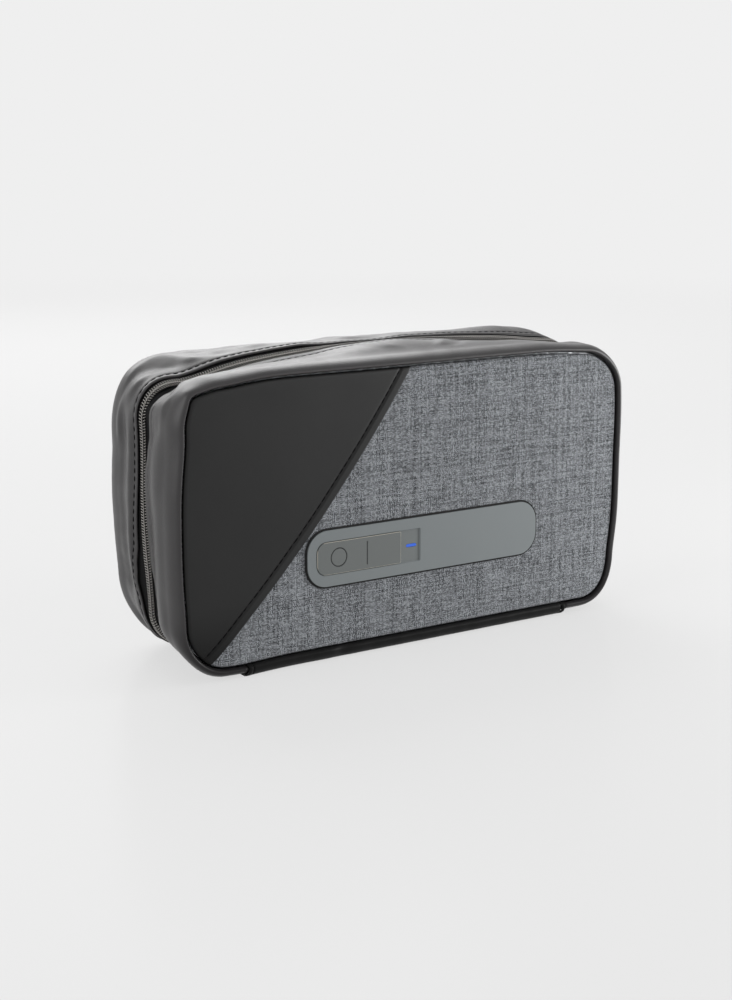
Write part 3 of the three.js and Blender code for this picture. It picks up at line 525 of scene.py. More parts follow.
@dataclass(frozen=True)
class Glow(Finish):
    """A light pipe of clear acrylic, lit from behind: a glow that is a little uneven."""

    light: str = "#4377e4"
    strength: float = 0.34
    halo: float = 1.2
    halo_detail: float = 1.0

    def pattern(self, tree: Tree) -> dict:
        """The lit colour, which shines by itself.

        Args:
            tree: The material's node tree.

        Returns:
            The surface inputs that the pattern feeds.
        """
        row = add(tree, "ShaderNodeTexCoord").outputs[Chart.ROW.value]
        uneven = add(tree, "ShaderNodeTexNoise", spots(row, self.halo, self.halo_detail)).outputs[0]
        lit = add(tree, "ShaderNodeMix", self.shades(uneven), data_type="RGBA").outputs[2]
        return {"Emission Color": lit, "Emission Strength": self.strength}


@dataclass(frozen=True)
class Quartz(Finish):
    """Fused quartz glass: clear, with a polished face."""

    haze: float = 2.5
    haze_detail: float = 3.0
    clean: float = 0.02
    handled: float = 0.08

    def pattern(self, tree: Tree) -> dict:
        """Clear glass with the faintest haze of handling.

        Args:
            tree: The material's node tree.

        Returns:
            The surface inputs that the pattern feeds.
        """
        row = add(tree, "ShaderNodeTexCoord").outputs[Chart.ROW.value]
        haze = add(tree, "ShaderNodeTexNoise", spots(row, self.haze, self.haze_detail)).outputs[0]
        hazed = {"Value": haze, "To Min": self.clean, "To Max": self.handled}
        return {"Transmission Weight": 1.0, "Roughness": add(tree, "ShaderNodeMapRange", hazed).outputs[0]}


@dataclass(frozen=True)
class Laminate(Finish):
    """Epoxy and glass board under green solder mask, with traces that stand a little proud."""

    light: str = "#2c7a4c"
    trace: float = 2.4
    trace_rise: float = 0.03

    def pattern(self, tree: Tree) -> dict:
        """Traces as edges of cells in a regular mesh.

        Args:
            tree: The material's node tree.

        Returns:
            The surface inputs that the pattern feeds.
        """
        row = add(tree, "ShaderNodeTexCoord").outputs[Chart.ROW.value]
        mesh = {"Vector": row, "Scale": 1 / (self.trace * MM)}
        cells = add(tree, "ShaderNodeTexVoronoi", mesh, distance="CHEBYCHEV").outputs[0]
        return {
            "Base Color": add(tree, "ShaderNodeMix", self.shades(cells), data_type="RGBA").outputs[2],
            "Normal": add(tree, "ShaderNodeBump", relief(cells, self.trace_rise)).outputs[0],
        }


def woven_turn(tree: Tree, cloth: Socket, yarn: float) -> Socket:
    """Which yarn of a plain weave is on top, as 0 or 1.

    Args:
        tree: The material's node tree.
        cloth: Coordinates in the cloth, in metres.
        yarn: Yarn spacing in millimetres.

    Returns:
        The socket with the turn.
    """
    lift = {0: cloth, 1: (0, 0, yarn * MM / 2)}
    lifted = add(tree, "ShaderNodeVectorMath", lift, operation="ADD").outputs[0]
    checks = {"Vector": lifted, "Scale": 1 / (yarn * MM), "Color1": (0, 0, 0, 1), "Color2": (1, 1, 1, 1)}
    return add(tree, "ShaderNodeTexChecker", checks).outputs[1]


def woven_height(tree: Tree, cloth: Socket, yarn: float) -> Socket:
    """Height of a plain weave, from 0 to 1: each yarn is round where it lies on top.

    Args:
        tree: The material's node tree.
        cloth: Coordinates in the cloth, in metres.
        yarn: Yarn spacing in millimetres.

    Returns:
        The socket with the height.
    """
    counts = {0: cloth, "Scale": math.pi / (yarn * MM)}
    counted = add(tree, "ShaderNodeVectorMath", counts, operation="SCALE").outputs[0]
    turns = add(tree, "ShaderNodeVectorMath", {0: counted}, operation="SINE").outputs[0]
    domes = add(tree, "ShaderNodeVectorMath", {0: turns}, operation="ABSOLUTE").outputs[0]
    parts = add(tree, "ShaderNodeSeparateXYZ", {0: domes}).outputs
    picked = {0: woven_turn(tree, cloth, yarn), 2: parts[0], 3: parts[1]}
    return add(tree, "ShaderNodeMix", picked, data_type="FLOAT").outputs[0]


COATED = CoatedCloth("polyurethane_coated_cloth", "#252324", 0.36)
PATCH = CoatedCloth(
    "matt_coated_cloth", "#171717", 0.45, ior=1.35, light="#1c1c1c", crinkle_rise=0.012, cloud=30.0
)
MELANGE = MelangeCloth("melange_plain_weave", "#2b2d30", 0.9)
TAPE = Webbing("polyester_zip_tape", "#0b0b0c", 0.9, ior=1.3, light="#1b1b1c")
COIL = NylonCoil("nylon_coil", "#a09d99", 0.25)
THREAD = Webbing("polyester_sewing_thread", "#050506", 0.9, ior=1.25, light="#0b0b0c", rib=0.3, rib_rise=0.05)
STRIP = Moulded("moulded_abs_strip", "#82888a", 0.5, light="#868c8d")
KNOB = Moulded("moulded_abs_knob", "#6e7271", 0.52, light="#727675")
# The strip's grey, made darker for the pocket's floor: painted shade in the recess.
RECESS_SHADE = Moulded("moulded_abs_painted_recess_shade", "#787d7d", 0.55)
# Near black on the floors of the knob's cut ring and bar: painted shade in the grooves.
GROOVE_SHADE = Moulded("painted_groove_shade", "#2a2c2b", 0.6)
# A light warm finish for the knob's bevel: a painted highlight along its edge.
KNOB_EDGE_HIGHLIGHT = Moulded("abs_edge_painted_highlight", "#dcd6c6", 0.35)
CASING = Moulded("moulded_white_abs", "#d5d7d8", 0.42)
GASKET = Moulded("moulded_silicone_gasket", "#141414", 0.8, ior=1.43, spark=0.5)
COMPONENT = Moulded("moulded_epoxy", "#1b1c1e", 0.5)
CERAMIC = Moulded("fired_alumina", "#e4e0cc", 0.4, ior=1.7)
FIBREBOARD = Moulded("pressed_fibre_board", "#5a5c5f", 0.95, spark=1.2, spark_rise=0.05)
LINING = FoilLining("aluminised_film_lining", "#b2b5b8", 0.34, metallic=0.75)
SLIDER = Metal("gunmetal_plated_zinc", "#4a4b4d", 0.34, metallic=0.95)
STEEL = Metal("plated_steel", "#b8babd", 0.3, metallic=1.0)
FOIL = Metal("cell_wrap_foil", "#9aa0a6", 0.36, metallic=0.6)
LENS = Glow("lit_acrylic_light_pipe", "#2f5fd0", 0.3, ior=1.49)
WINDOW = Quartz("fused_quartz", "#eef2fa", 0.04, ior=1.46)
BOARD = Laminate("solder_masked_laminate", "#1d5a38", 0.45)


# Meshes

# Places closer than this many millimetres are one place.
TINY = 0.001
CORNER_STEPS = 12
# Bounds of the Y of the normals of faces that look to the front, and of slanting ones
FRONTWARD = (-1.01, -0.9)
SLANTING = (-0.95, -0.2)


def shown(name: str, data: bpy.types.ID) -> Object:
    """An object with the given mesh, curve, lamp or camera, linked to the scene.

    Args:
        name: The object's name.
        data: What it shows.

    Returns:
        The object.
    """
    obj = bpy.data.objects.new(name, data)
    bpy.context.scene.collection.objects.link(obj)
    return obj


def to_object(bm: Solid, name: str) -> Object:
    """Turns a mesh in millimetres into an object in metres at the origin.

    Args:
        bm: The mesh. It is freed.
        name: The piece's name.

    Returns:
        The object, linked to the scene.
    """
    bmesh.ops.scale(bm, vec=Vector((MM, MM, MM)), verts=bm.verts)
    mesh = bpy.data.meshes.new(name)
    bm.to_mesh(mesh)
    bm.free()
    mesh.shade_smooth()
    return shown(name, mesh)


def settle(obj: Object) -> Object:
    """Makes an object's modifiers, or a curve's tube, its own mesh.

    Args:
        obj: The object. It is removed.

    Returns:
        A new object of the same name, which holds the mesh.
    """
    view = bpy.context.evaluated_depsgraph_get()
    mesh = bpy.data.meshes.new_from_object(obj.evaluated_get(view))
    name, old = obj.name, obj.data
    bpy.data.objects.remove(obj)
    (bpy.data.curves if isinstance(old, bpy.types.Curve) else bpy.data.meshes).remove(old)
    mesh.name = name
    mesh.shade_smooth()
    return shown(name, mesh)


def cloth_sheet(name: str, net: Net, thickness: float, turned_over: bool = False) -> Object:
    """A sheet of cloth over a net of places, with its own lengths as its chart.

    Args:
        name: The piece's name.
        net: Places of the outer face in millimetres, one list for each column.
        thickness: The cloth's thickness, laid on the inner side.
        turned_over: Whether the outer face is the one from which the columns run to the left.

    Returns:
        The sheet as an object.
    """
    columns, rows = len(net) - 1, len(net[0]) - 1
    chart = lengths_of(net)
    bm = bmesh.new()
    layer = bm.loops.layers.uv.new("cloth")
    bmesh.ops.create_grid(bm, x_segments=columns, y_segments=rows, size=1.0)
    cells = {}
    for vert in bm.verts:
        cells[vert] = (round((vert.co.x + 1) / 2 * columns), round((vert.co.y + 1) / 2 * rows))
    for face in bm.faces:
        for loop in face.loops:
            i, j = cells[loop.vert]
            loop[layer].uv = chart[i][j]
    for vert, (i, j) in cells.items():
        vert.co = slumped(net[i][j])
    if turned_over:
        bmesh.ops.reverse_faces(bm, faces=bm.faces)
    obj = to_object(bm, name)
    wall = obj.modifiers.new("cloth", "SOLIDIFY")
    wall.thickness = thickness * MM
    wall.offset = -1.0
    wall.use_even_offset = False
    return obj


def lengths_of(net: Net) -> list[Section]:
    """The cloth's own lengths at each place of a net, in metres: across the columns and along each one.

    Args:
        net: Places of the cloth in millimetres, one list for each column.

    Returns:
        The pair of lengths of each place, in the net's order.
    """
    middle = len(net[0]) // 2
    chart, beside = [], 0.0
    for i, column in enumerate(net):
        if i:
            beside += (column[middle] - net[i - 1][middle]).length
        down, lengths = 0.0, []
        for j, place in enumerate(column):
            if j:
                down += (place - column[j - 1]).length
            lengths.append((beside * MM, down * MM))
        chart.append(lengths)
    return chart


def tubes(name: str, lines: Net, radii: list[float]) -> Object:
    """Round wires along lines of places.

    Args:
        name: The piece's name.
        lines: The wires' middle lines, in millimetres.
        radii: The radius of each wire, in millimetres.

    Returns:
        The wires as one object.
    """
    curve = bpy.data.curves.new(name, "CURVE")
    curve.dimensions = "3D"
    curve.bevel_depth = MM
    curve.bevel_resolution = 1
    curve.use_fill_caps = True
    for line, radius in zip(lines, radii):
        spline = curve.splines.new("POLY")
        spline.points.add(len(line) - 1)
        for point, place in zip(spline.points, line):
            point.co = (*(slumped(place) * MM), 1.0)
            point.radius = radius
    return settle(shown(name, curve))


def stitches(name: str, ends: Stitches, thread: float) -> Object:
    """A row of sewn stitches, each a short fat thread that dips into the cloth at both ends.

    Args:
        name: The piece's name.
        ends: For each stitch its first and last place and the direction out of the cloth.
        thread: The thread's diameter in millimetres.

    Returns:
        The stitches as one object.
    """
    bm = bmesh.new()
    for start, end, out in ends:
        first, last = slumped(start), slumped(end)
        way = last - first
        side = way.cross(out).normalized()
        turn = Matrix((way.normalized(), side, out.normalized())).transposed().to_4x4()
        size = Matrix.Diagonal((way.length / 2, thread * STITCH.wide_share, thread * STITCH.high_share, 1.0))
        spot = Matrix.Translation((first + last) / 2) @ turn @ size
        bmesh.ops.create_icosphere(bm, subdivisions=1, radius=1.0, matrix=spot)
    return to_object(bm, name)


@dataclass(frozen=True)
class Bounds:
    """Bounds in X and Z, in millimetres."""

    left: float
    right: float
    foot: float
    head: float

    @classmethod
    def about(cls, x: float, z: float, width: float, height: float) -> "Bounds":
        """Bounds of a width and height about a middle."""
        return cls(x - width / 2, x + width / 2, z - height / 2, z + height / 2)

    @classmethod
    def of(cls, node: str) -> "Bounds":
        """Bounds of a CAD node."""
        low, high = corners(node)
        return cls(low.x, high.x, low.z, high.z)

    def grown(self, by: float) -> "Bounds":
        """The bounds, grown on every side."""
        return Bounds(self.left - by, self.right + by, self.foot - by, self.head + by)

    def holds(self, place: Vector) -> bool:
        """Whether a place lies within the bounds."""
        return self.left < place.x < self.right and self.foot < place.z < self.head

    @property
    def x(self) -> float:
        """Middle in X."""
        return (self.left + self.right) / 2

    @property
    def z(self) -> float:
        """Middle in Z."""
        return (self.foot + self.head) / 2

    @property
    def width(self) -> float:
        """Size in X."""
        return self.right - self.left

    @property
    def height(self) -> float:
        """Size in Z."""
        return self.head - self.foot


def corners(node: str) -> tuple[Vector, Vector]:
    """The lowest and highest corner of a CAD node, in millimetres."""
    low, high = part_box(node)
    return low / MM, high / MM


def slab(
    bounds: Bounds, near: float, far: float, radius: float = 0.0, right_radius: float | None = None
) -> Solid:
    """A plate with round corners, whose outline lies in X and Z.

    Args:
        bounds: Its outline's bounds.
        near: Y of its front face.
        far: Y of its rear face.
        radius: Corner radius.
        right_radius: Corner radius of the right end, where that differs.

    Returns:
        The closed plate.
    """
    bm = bmesh.new()
    bmesh.ops.create_grid(bm, x_segments=1, y_segments=1, size=0.5)
    bmesh.ops.scale(bm, vec=Vector((bounds.width, bounds.height, 1.0)), verts=bm.verts)
    bmesh.ops.rotate(bm, matrix=Matrix.Rotation(math.pi / 2, 3, "X"), verts=bm.verts)
    bmesh.ops.translate(bm, vec=Vector((bounds.x, near, bounds.z)), verts=bm.verts)
    rights = radius if right_radius is None else right_radius
    for offset, side in ((radius, -1), (rights, 1)):
        ends = [vert for vert in bm.verts if (vert.co.x - bounds.x) * side > bounds.width / 2 - TINY]
        if offset > 0:
            round_off(bm, ends, offset, "VERTICES", CORNER_STEPS)
    bottom = bmesh.ops.extrude_face_region(bm, geom=bm.faces[:])["geom"]
    moved = [part for part in bottom if isinstance(part, bmesh.types.BMVert)]
    bmesh.ops.translate(bm, vec=Vector((0.0, far - near, 0.0)), verts=moved)
    bmesh.ops.recalc_face_normals(bm, faces=bm.faces)
    return bm


def round_off(bm: Solid, parts: list, offset: float, affect: str, segments: int) -> None:
    """Rounds edges or corners of a mesh with the editor's own bevel settings.

    Args:
        bm: The mesh.
        parts: The edges or corners.
        offset: Width of the rounding.
        affect: EDGES or VERTICES.
        segments: Steps of the rounding.
    """
    bmesh.ops.bevel(
        bm,
        geom=parts,
        offset=offset,
        offset_type="OFFSET",
        segments=segments,
        profile=0.5,
        affect=affect,
        material=-1,
        clamp_overlap=True,
    )


def edges_at(bm: Solid, y: float) -> list[bmesh.types.BMEdge]:
    """The edges of a mesh that lie at one Y."""
    return [edge for edge in bm.edges if all(abs(vert.co.y - y) < TINY for vert in edge.verts)]


def peg(x: float, z: float, diameter: float, near: float, far: float, sides: int = 40) -> Solid:
    """A round or many-sided bar that runs in Y.

    Args:
        x: X of its axis.
        z: Z of its axis.
        diameter: Its diameter.
        near: Y of its front end.
        far: Y of its rear end.
        sides: The number of its sides.

    Returns:
        The closed bar.
    """
    bm = bmesh.new()
    radius = diameter / 2
    bmesh.ops.create_cone(
        bm, cap_ends=True, cap_tris=False, segments=sides, radius1=radius, radius2=radius, depth=far - near
    )
    bmesh.ops.rotate(bm, matrix=Matrix.Rotation(math.pi / 2, 3, "X"), verts=bm.verts)
    bmesh.ops.translate(bm, vec=Vector((x, (near + far) / 2, z)), verts=bm.verts)
    bmesh.ops.recalc_face_normals(bm, faces=bm.faces)
    return bm


def ring(x: float, z: float, radius: float, width: float, near: float, far: float) -> Solid:
    """A round groove's solid about an axis in Y, with a square section.

    Args:
        x: X of its axis.
        z: Z of its axis.
        radius: Radius of the groove's middle.
        width: The groove's width.
        near: Y of its front end.
        far: Y of its rear end.

    Returns:
        The closed solid.
    """
    bm = bmesh.new()
    bmesh.ops.create_grid(bm, x_segments=1, y_segments=1, size=0.5)
    bmesh.ops.scale(bm, vec=Vector((width, far - near, 1.0)), verts=bm.verts)
    bmesh.ops.translate(bm, vec=Vector((x + radius, (near + far) / 2, z)), verts=bm.verts)
    section = bm.edges[:]
    bmesh.ops.delete(bm, geom=bm.faces[:], context="FACES_ONLY")
    bmesh.ops.spin(
        bm,
        geom=section,
        cent=Vector((x, 0.0, z)),
        axis=Vector((0.0, 1.0, 0.0)),
        angle=math.tau,
        steps=72,
        use_merge=True,
    )
    bmesh.ops.remove_doubles(bm, verts=bm.verts, dist=TINY)
    bmesh.ops.recalc_face_normals(bm, faces=bm.faces)
    return bm


class Moulding:
    """A rigid piece made of closed solids that are joined and cut, with its edges rounded at the end."""

    flat_turn = math.radians(0.5)
    edge_turn = math.radians(32)

    def __init__(self, name: str, solid: Solid) -> None:
        """Starts the piece from one solid."""
        self.body = to_object(solid, name)
        self.tools: list[Object] = []

    def join(self, *solids: Solid) -> "Moulding":
        """Adds solids, each of which overlaps the piece."""
        return self._use("UNION", solids)

    def cut(self, *solids: Solid) -> "Moulding":
        """Takes solids away."""
        return self._use("DIFFERENCE", solids)

    def _use(self, operation: str, solids: Iterable[Solid]) -> "Moulding":
        """Puts one step for each solid on the piece, to be worked out when it is finished.

        Args:
            operation: UNION or DIFFERENCE.
            solids: The solids.

        Returns:
            The piece.
        """
        for solid in solids:
            tool = to_object(solid, "tool")
            step = self.body.modifiers.new("step", "BOOLEAN")
            step.operation = operation
            step.object = tool
            step.solver = "EXACT"
            self.tools.append(tool)
        return self

    def finish(self, edge: float, segments: int = 2) -> Object:
        """Settles the piece.

        Args:
            edge: Width of the rounding on its edges, in millimetres.
            segments: Steps of that rounding.

        Returns:
            The finished object.
        """
        plain = settle(self.body)
        for tool in self.tools:
            mesh = tool.data
            bpy.data.objects.remove(tool)
            bpy.data.meshes.remove(mesh)
        bm = bmesh.new()
        bm.from_mesh(plain.data)
        bmesh.ops.remove_doubles(bm, verts=bm.verts, dist=TINY * MM)
        bmesh.ops.dissolve_limit(bm, angle_limit=self.flat_turn, verts=bm.verts, edges=bm.edges)
        bm.to_mesh(plain.data)
        bm.free()
        rounding = plain.modifiers.new("edges", "BEVEL")
        rounding.width = edge * MM
        rounding.segments = segments
        rounding.limit_method = "ANGLE"
        rounding.angle_limit = self.edge_turn
        rounding.use_clamp_overlap = True
        rounding.harden_normals = True
        return settle(plain)


def dress(
    obj: Object, body: str, finish: Finish, stands_for: tuple[str, ...] = ()
) -> Object:
    """Gives a piece its material and its CAD body.

    Args:
        obj: The piece.
        body: The CAD body that it rides on.
        finish: Its finish.
        stands_for: The CAD nodes that it replaces.

    Returns:
        The piece.
    """
    obj.data.materials.clear()
    obj.data.materials.append(finish.material())
    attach(obj, body)
    if stands_for:
        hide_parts(*stands_for)
    log.info("%s: %s on %s", obj.name, finish.name, body)
    return obj


def paint(
    obj: Object, finish: Finish, picks: Callable[[Vector], bool], facing: tuple[float, float] = FRONTWARD
) -> None:
    """Gives a further finish to some faces of a rigid piece.

    Args:
        obj: The piece.
        finish: The further finish.
        picks: Whether a face is meant, by its middle in millimetres.
        facing: Bounds of the Y of the normals that are meant.
    """
    obj.data.materials.append(finish.material())
    last = len(obj.data.materials) - 1
    for face in obj.data.polygons:
        if facing[0] < face.normal.y < facing[1] and picks(face.center / MM):
            face.material_index = last


# The cloth's path


@dataclass(frozen=True)
class Slump:
    """A place round which the soft pouch has given way, or stands fuller than its plain shape."""

    middle: Place
    spread: float
    move: Place

    def shift(self, place: Vector) -> Vector:
        """How far it moves a place."""
        off = (place - Vector(self.middle)).length / self.spread
        return Vector(self.move) * math.exp(-off * off)


SLUMPS = (
    Slump((-94.0, -31.0, 116.0), 17.0, (0.0, 0.0, -2.4)),
    Slump((-86.0, 0.0, 114.0), 15.0, (0.0, 0.0, -1.3)),
    Slump((-107.0, -31.0, 97.0), 17.0, (2.1, 0.0, 0.0)),
    Slump((-107.0, -31.0, 22.0), 16.0, (1.0, 0.0, 0.0)),
    Slump((-84.0, -31.0, 5.0), 14.0, (0.0, 0.0, -0.8)),
    Slump((-102.5, -31.0, 112.5), 4.6, (-1.6, 0.0, 0.9)),
    Slump((101.0, -31.0, 112.0), 15.0, (-0.9, 0.0, -1.5)),
    Slump((109.0, -31.0, 88.0), 17.0, (0.5, 0.0, 0.0)),
    Slump((108.0, -31.0, 20.0), 16.0, (-2.6, 0.0, 0.0)),
    Slump((-110.0, 20.0, 20.0), 25.0, (6.6, 0.0, 1.0)),
    Slump((-102.0, 24.0, 112.0), 18.0, (-0.8, 0.0, 1.8)),
    Slump((-76.0, 24.0, 120.0), 18.0, (0.0, 0.0, 1.2)),
    Slump((-111.0, 26.0, 92.0), 26.0, (5.0, 0.0, 0.0)),
    Slump((-111.0, 26.0, 52.0), 24.0, (3.4, 0.0, 0.0)),
    Slump((-104.0, 18.0, 9.0), 12.0, (1.9, 0.0, 1.9)),
    Slump((-103.0, -17.0, 10.0), 11.0, (2.4, 0.0, 2.6)),
    Slump((-22.0, 22.0, 122.0), 34.0, (0.0, 0.0, -0.9)),
    Slump((76.0, 22.0, 121.0), 16.0, (0.0, 0.0, 1.8)),
    Slump((88.0, -14.0, 119.0), 16.0, (0.0, 0.0, -2.4)),
)


def slumped(place: Vector) -> Vector:
    """A place of the plain shape, moved with the pouch's slumps."""
    return place + sum((slump.shift(place) for slump in SLUMPS), Vector())


@dataclass(frozen=True)
class Stop:
    """A place on the seams of both panels, at a length along the zipped sides."""

    along: float
    x: float
    z: float
    rear_x: float
    rear_z: float
    out_x: float
    out_z: float
    lip: float
    arch: float = 0.0


@dataclass(frozen=True)
class SeamPath:
    """The way that seams and zip take over the left side, the top and the right side."""

    half_width: float
    half_depth: float
    foot: float
    head: float
    end_x: float
    front_corner: float = 17.0
    rear_corner: float = 26.0
    side_lip: float = 2.4
    top_lip: float = 7.6
    top_left_lip: float = -1.4
    top_right_lip: float = 3.0
    bottom_lip: float = -1.0

    @classmethod
    def from_frame(cls, seam_gap: float = 0.3) -> "SeamPath":
        """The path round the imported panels.

        Args:
            seam_gap: From a panel's edge to its seam line.

        Returns:
            The path.
        """
        low, high = corners("front_fabric_panel")
        ends = corners("right_end_tab")
        return cls(high.x + seam_gap, -low.y, low.z - seam_gap, high.z + seam_gap, ends[1].x + seam_gap)

    @property
    def legs(self) -> tuple[float, ...]:
        """Lengths of the path's nine legs, from the left end of the base to its right end.

        Returns:
            The nine lengths, in order.
        """
        run = self.half_width - self.front_corner - self.end_x
        turn = self.front_corner * math.pi / 2
        side = self.head - self.foot - 2 * self.front_corner
        top = 2 * (self.half_width - self.front_corner)
        return (run, turn, side, turn, top, turn, side, turn, run)

    @property
    def length(self) -> float:
        """The whole length."""
        return sum(self.legs)

    def stop(self, along: float) -> Stop:
        """The stop at a length along the path.

        Args:
            along: The length.

        Returns:
            The stop.
        """
        rest, leg = max(0.0, min(along, self.length)), 0
        while leg < len(self.legs) - 1 and rest > self.legs[leg]:
            rest -= self.legs[leg]
            leg += 1
        share = rest / self.legs[leg]
        if leg in (1, 3, 5, 7):
            return self._turn(along, leg, share)
        return self._straight(along, leg, share)

    def _turn(self, along: float, leg: int, share: float) -> Stop:
        """A stop in one of the four corners.

        Args:
            along: The stop's length along the path.
            leg: The corner's number among the legs.
            share: How far round the corner the stop lies.

        Returns:
            The stop.
        """
        side = -1 if leg < 5 else 1
        low = leg in (1, 7)
        start = {1: -math.pi / 2, 3: -math.pi, 5: math.pi / 2, 7: 0.0}[leg]
        angle = start - share * math.pi / 2
        out_x, out_z = math.cos(angle), math.sin(angle)
        lips = {
            1: (self.bottom_lip, self.side_lip),
            3: (self.side_lip, self.top_left_lip),
            5: (self.top_right_lip, self.side_lip),
            7: (self.side_lip, self.bottom_lip),
        }[leg]
        places = []
        for radius in (self.front_corner, self.rear_corner):
            middle_z = self.foot + radius if low else self.head - radius
            places += [side * (self.half_width - radius) + radius * out_x, middle_z + radius * out_z]
        return Stop(along, *places, out_x, out_z, mix(*lips, ease(share)))

    def _straight(self, along: float, leg: int, share: float) -> Stop:
        """A stop on one of the straight runs.

        Args:
            along: The stop's length along the path.
            leg: The run's number among the legs.
            share: How far along the run the stop lies.

        Returns:
            The stop.
        """
        inner = [self.half_width - radius for radius in (self.front_corner, self.rear_corner)]
        if leg == 4:
            xs = [mix(-x, x, share) for x in inner]
            arch = math.sin(math.pi * share)
            lip = mix(mix(self.top_left_lip, self.top_right_lip, share), self.top_lip, arch)
            return Stop(along, xs[0], self.head, xs[1], self.head, 0.0, 1.0, lip, arch)
        if leg in (2, 6):
            side = -1 if leg == 2 else 1
            up = share if leg == 2 else 1 - share
            radii = (self.front_corner, self.rear_corner)
            zs = [mix(self.foot + radius, self.head - radius, up) for radius in radii]
            x = side * self.half_width
            return Stop(along, x, zs[0], x, zs[1], side, 0.0, self.side_lip)
        side = -1 if leg == 0 else 1
        outward = share if leg == 0 else 1 - share
        xs = [side * mix(self.end_x, x, outward) for x in inner]
        return Stop(along, xs[0], self.foot, xs[1], self.foot, 0.0, -1.0, self.bottom_lip)


@dataclass(frozen=True)
class Fold:
    """A soft ridge, or a hollow where its height is negative, in a side wall.

    A fold that runs across crosses the middle of the wall at the length "along" and leans by "lean" from the
    roll to the lip. One that runs along lies at the share "level" of the wall, from "start" to "end".
    """

    run: Run
    height: float
    width: float
    along: float = 0.0
    lean: float = 0.0
    level: float = 0.5
    start: float = 0.0
    end: float = 1.0
    fade_share: float = 0.2
    fade_length: float = 18.0

    def rise(self, along: float, share: float) -> float:
        """How far it lifts the wall at a length along the path and a share of the way to the lip.

        Args:
            along: A length along the path.
            share: A share of the way from the roll to the lip.

        Returns:
            The rise, which is negative in a hollow.
        """
        if self.run is Run.ACROSS:
            off = (along - self.along - self.lean * (share - 0.5)) / self.width
            window = ease((share - self.start) / self.fade_share)
            window *= ease((self.end - share) / self.fade_share)
        else:
            off = (share - self.level) / self.width
            window = ease((along - self.start) / self.fade_length)
            window *= ease((self.end - along) / self.fade_length)
        return self.height * math.exp(-off * off) * window


